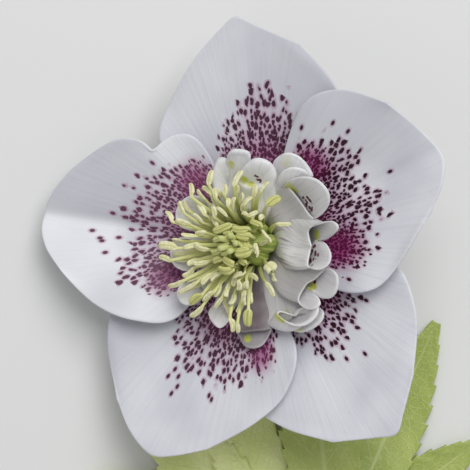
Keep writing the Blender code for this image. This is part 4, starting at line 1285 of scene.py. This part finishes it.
def buildLeaflet(base, pale, azimuth, length, halfWidth, heights):
    sheet = addSheet(bracts["columns"], bracts["rows"])
    forward, side = levelWays(math.radians(azimuth))
    leaf = []
    levels = [(height,) for height in heights]
    for vert in sheet.data.vertices:
        across, along = vert.co.x * 2.0 - 1.0, vert.co.y
        width = halfWidth * math.sin(math.pi * mix(0.03, 0.97, along))
        width = max(width, mix(bracts["foot"], bracts["tip"], along))
        saw = (along * bracts["teeth"]) % 1.0
        cut = bracts["toothDepth"] * (1.0 - saw) ** 0.8 * grown(along, *bracts["toothGrowth"])
        width *= 1.0 - cut * abs(across) ** 4
        rise = bracts["fold"] * abs(across) ** 1.15 * width
        rise += bracts["quilt"] * math.sin((along * 9.0 + abs(across) * 1.3) * math.tau) * abs(across)
        ahead = length * along + bracts["toothLean"] * saw * abs(across) ** 6 * length / bracts["teeth"]
        place = Vector((*base, alongCurve(levels, along)[0] + rise))
        vert.co = place + forward * ahead + side * across * width
        leaf.append((across * 0.5 + 0.5, along))
    setMap(sheet, "leaf", leaf)
    addShades(sheet, pale=pale)
    cleanMesh(sheet)
    thickenSheet(sheet, bracts["thickness"], 0)
    return sheet


def buildClasp(middle, size, pale):
    # the leaflets' common foot, which clasps the stem
    clasp = addBall(20, 12)
    clasp.data.transform(Matrix.Translation(middle) @ Matrix.Diagonal((*size, 1.0)))
    setMap(clasp, "leaf", [(0.0, 0.0)] * len(clasp.data.vertices))
    addShades(clasp, pale=pale)
    return clasp


def bractMaterial():
    material = newMaterial("bract_finish", 0.42, skin=0.15)
    place = objectPlace()
    across, along, _ = parted(mapOf("leaf"))
    away = calc("ABSOLUTE", minus(across, 0.5))
    midrib = fade(away, 0.012, 0.045, 1.0, 0.0)
    slant = minus(times(along, 12.0), times(away, 5.0))
    wave = calc("ABSOLUTE", minus(calc("FRACT", slant), 0.5))
    sideVein = times(fade(wave, 0.0, 0.09, 1.0, 0.0), fade(away, 0.5, 0.1))
    net = addNode("TexVoronoi", {"Vector": place, "Scale": 900.0}, feature="DISTANCE_TO_EDGE")
    netLine = fade(net.outputs["Distance"], 0.0, 0.12, 0.5, 0.0)
    veins = largest(largest(midrib, sideVein), netLine)
    tone = fade(noise(place, 120.0), 0.35, 0.7)
    # painted light and painted shade: the bract's attribute picks the lit or the shaded copy
    colour = blendColour(shadeOf("pale"), blendColour(tone, *bracts["dark"]),
                         blendColour(tone, *bracts["light"]))
    addFinish(blendColour(times(veins, 0.3), colour, bracts["vein"]), veins, 0.14)
    return material


leafFinish = bractMaterial()
for bractName, (bractBase, pale, clasp, leaflets) in bracts["leaves"].items():
    leafPieces = [buildLeaflet(bractBase, pale, *leaflet) for leaflet in leaflets]
    leafPieces.append(buildClasp(*clasp, pale))
    finishPiece(joinPieces(leafPieces), bractName + "_leaf", plantPlace, leafFinish, bractName)
print("bracts done")


# bud: five sepals wrapped round each other over a core
bud = {
    "centre": (44.9, -45.4, 6.2),
    "azimuth": 26.0,
    "length": 14.5,
    "radius": 5.9,
    "pitch": 6.0,
    "taper": 0.22,
    "sepals": 5,
    "columns": 26,
    "rows": 30,
    "wrap": 118.0,
    "overlap": 0.30,
    "inset": 0.55,
    "ridge": 0.15,
    "thickness": 0.4,
    "core": (32, 20),
    "coreInset": 0.9,
    "white": (srgb(224, 226, 214), srgb(198, 204, 176)),
    "foot": srgb(168, 182, 96),
    "tip": srgb(184, 140, 160),
}


def buildBudSepal(number):
    sheet = addSheet(bud["columns"], bud["rows"])
    grain = []
    for vert in sheet.data.vertices:
        across, along = vert.co.x, vert.co.y
        polar = math.pi * mix(0.97, 0.015, along)
        width = bud["wrap"] * (0.55 + 0.45 * math.sin(math.pi * min(along * 0.9 + 0.1, 1.0)))
        turn = math.radians(number * 360.0 / bud["sepals"] + (across - 0.5) * width)
        lap = bud["overlap"] * (0.5 - across) * 2.0
        height = math.cos(polar)
        ridge = bud["ridge"] * (1.0 - abs(across - 0.5) * 2.0)
        radius = (bud["radius"] - bud["inset"] + ridge) * (1.0 - bud["taper"] * height)
        out = math.sin(polar) * (radius + lap)
        vert.co = (out * math.cos(turn), out * math.sin(turn), height * bud["length"] / 2 * 0.985)
        grain.append((across, along))
    setMap(sheet, "grain", grain)
    cleanMesh(sheet)
    thickenSheet(sheet, bud["thickness"])
    return sheet


def buildBud():
    pieces = [buildBudSepal(number) for number in range(bud["sepals"])]
    core = addBall(*bud["core"])
    for vert in core.data.vertices:
        swell = (bud["radius"] - bud["coreInset"]) * (1.0 - bud["taper"] * vert.co.z)
        vert.co = (vert.co.x * swell, vert.co.y * swell, vert.co.z * (bud["length"] / 2 - 0.4))
    return joinPieces(pieces + [core])


def budMaterial():
    material = newMaterial("bud_finish", 0.42, skin=0.25, skinDepth=0.8)
    grain = mapOf("grain")
    along = parted(grain)[1]
    lines = grainLines(grain, 26.0, 1.2, 3.0)
    colour = blendColour(fade(lines, 0.38, 0.68), *bud["white"])
    colour = blendColour(fade(along, 0.5, 0.0), colour, bud["foot"])
    colour = blendColour(fade(along, 0.72, 1.0, 0.0, 0.45), colour, bud["tip"])
    addFinish(colour, lines, 0.12)
    return material


budPlace = (plantPlace @ Matrix.Translation(bud["centre"])
            @ Matrix.Rotation(math.radians(bud["azimuth"]), 4, "Z")
            @ Matrix.Rotation(math.radians(90.0 - bud["pitch"]), 4, "Y"))
finishPiece(buildBud(), "flower_bud", budPlace, budMaterial(), "bud")
print("bud done")


# studio: pale floor, soft light from the top of the picture, camera straight above. Lamps have a
# power, a size and a place from the bloom, in metres
studio = {
    "floor": 4.0,
    "floorColour": (0.80, 0.80, 0.79),
    "worldColour": (0.97, 0.98, 1.0),
    "worldStrength": 0.37,
    "lamps": {"keyLight": (4.4, 0.55, (0.18, 0.40, 0.68)), "fillLight": (0.6, 0.9, (-0.5, -0.5, 0.7))},
    "sensor": 36.0,
}


def buildStudio():
    deselectAll()
    bpy.ops.mesh.primitive_plane_add(size=studio["floor"], location=(0.0, 0.0, 0.0))
    floor = bpy.context.object
    floor.name = "studio_floor"
    floor.data.materials.append(newMaterial("floor_finish", 0.9, specular=0.1))
    recipe["shader"].inputs["Base Color"].default_value = (*studio["floorColour"], 1.0)
    centre = (plantShift + up * bloom["height"]) * mm
    for name, (power, size, offset) in studio["lamps"].items():
        light = bpy.data.lights.new(name, "AREA")
        light.energy = power
        light.size = size
        lamp = addObject(name, light)
        lamp.location = centre + Vector(offset)
        lamp.rotation_euler = (-Vector(offset)).to_track_quat("-Z", "Y").to_euler()
    world = bpy.data.worlds.new("studioWorld")
    world.use_nodes = True
    background = world.node_tree.nodes["Background"]
    background.inputs[0].default_value = (*studio["worldColour"], 1.0)
    background.inputs[1].default_value = studio["worldStrength"]
    bpy.context.scene.world = world
    bpy.context.scene.view_settings.view_transform = "Standard"


def buildCamera():
    data = bpy.data.cameras.new("camera")
    data.sensor_width = studio["sensor"]
    halfFrame = picture["size"] / 2 / picture["pixelsPerMm"]
    data.lens = studio["sensor"] / 2 * picture["distance"] / halfFrame
    data.clip_start = 0.01
    camera = addObject("camera", data)
    camera.location = Vector((cameraX, cameraY, cameraZ)) * mm
    bpy.context.scene.camera = camera


buildStudio()
buildCamera()
print("studio done")
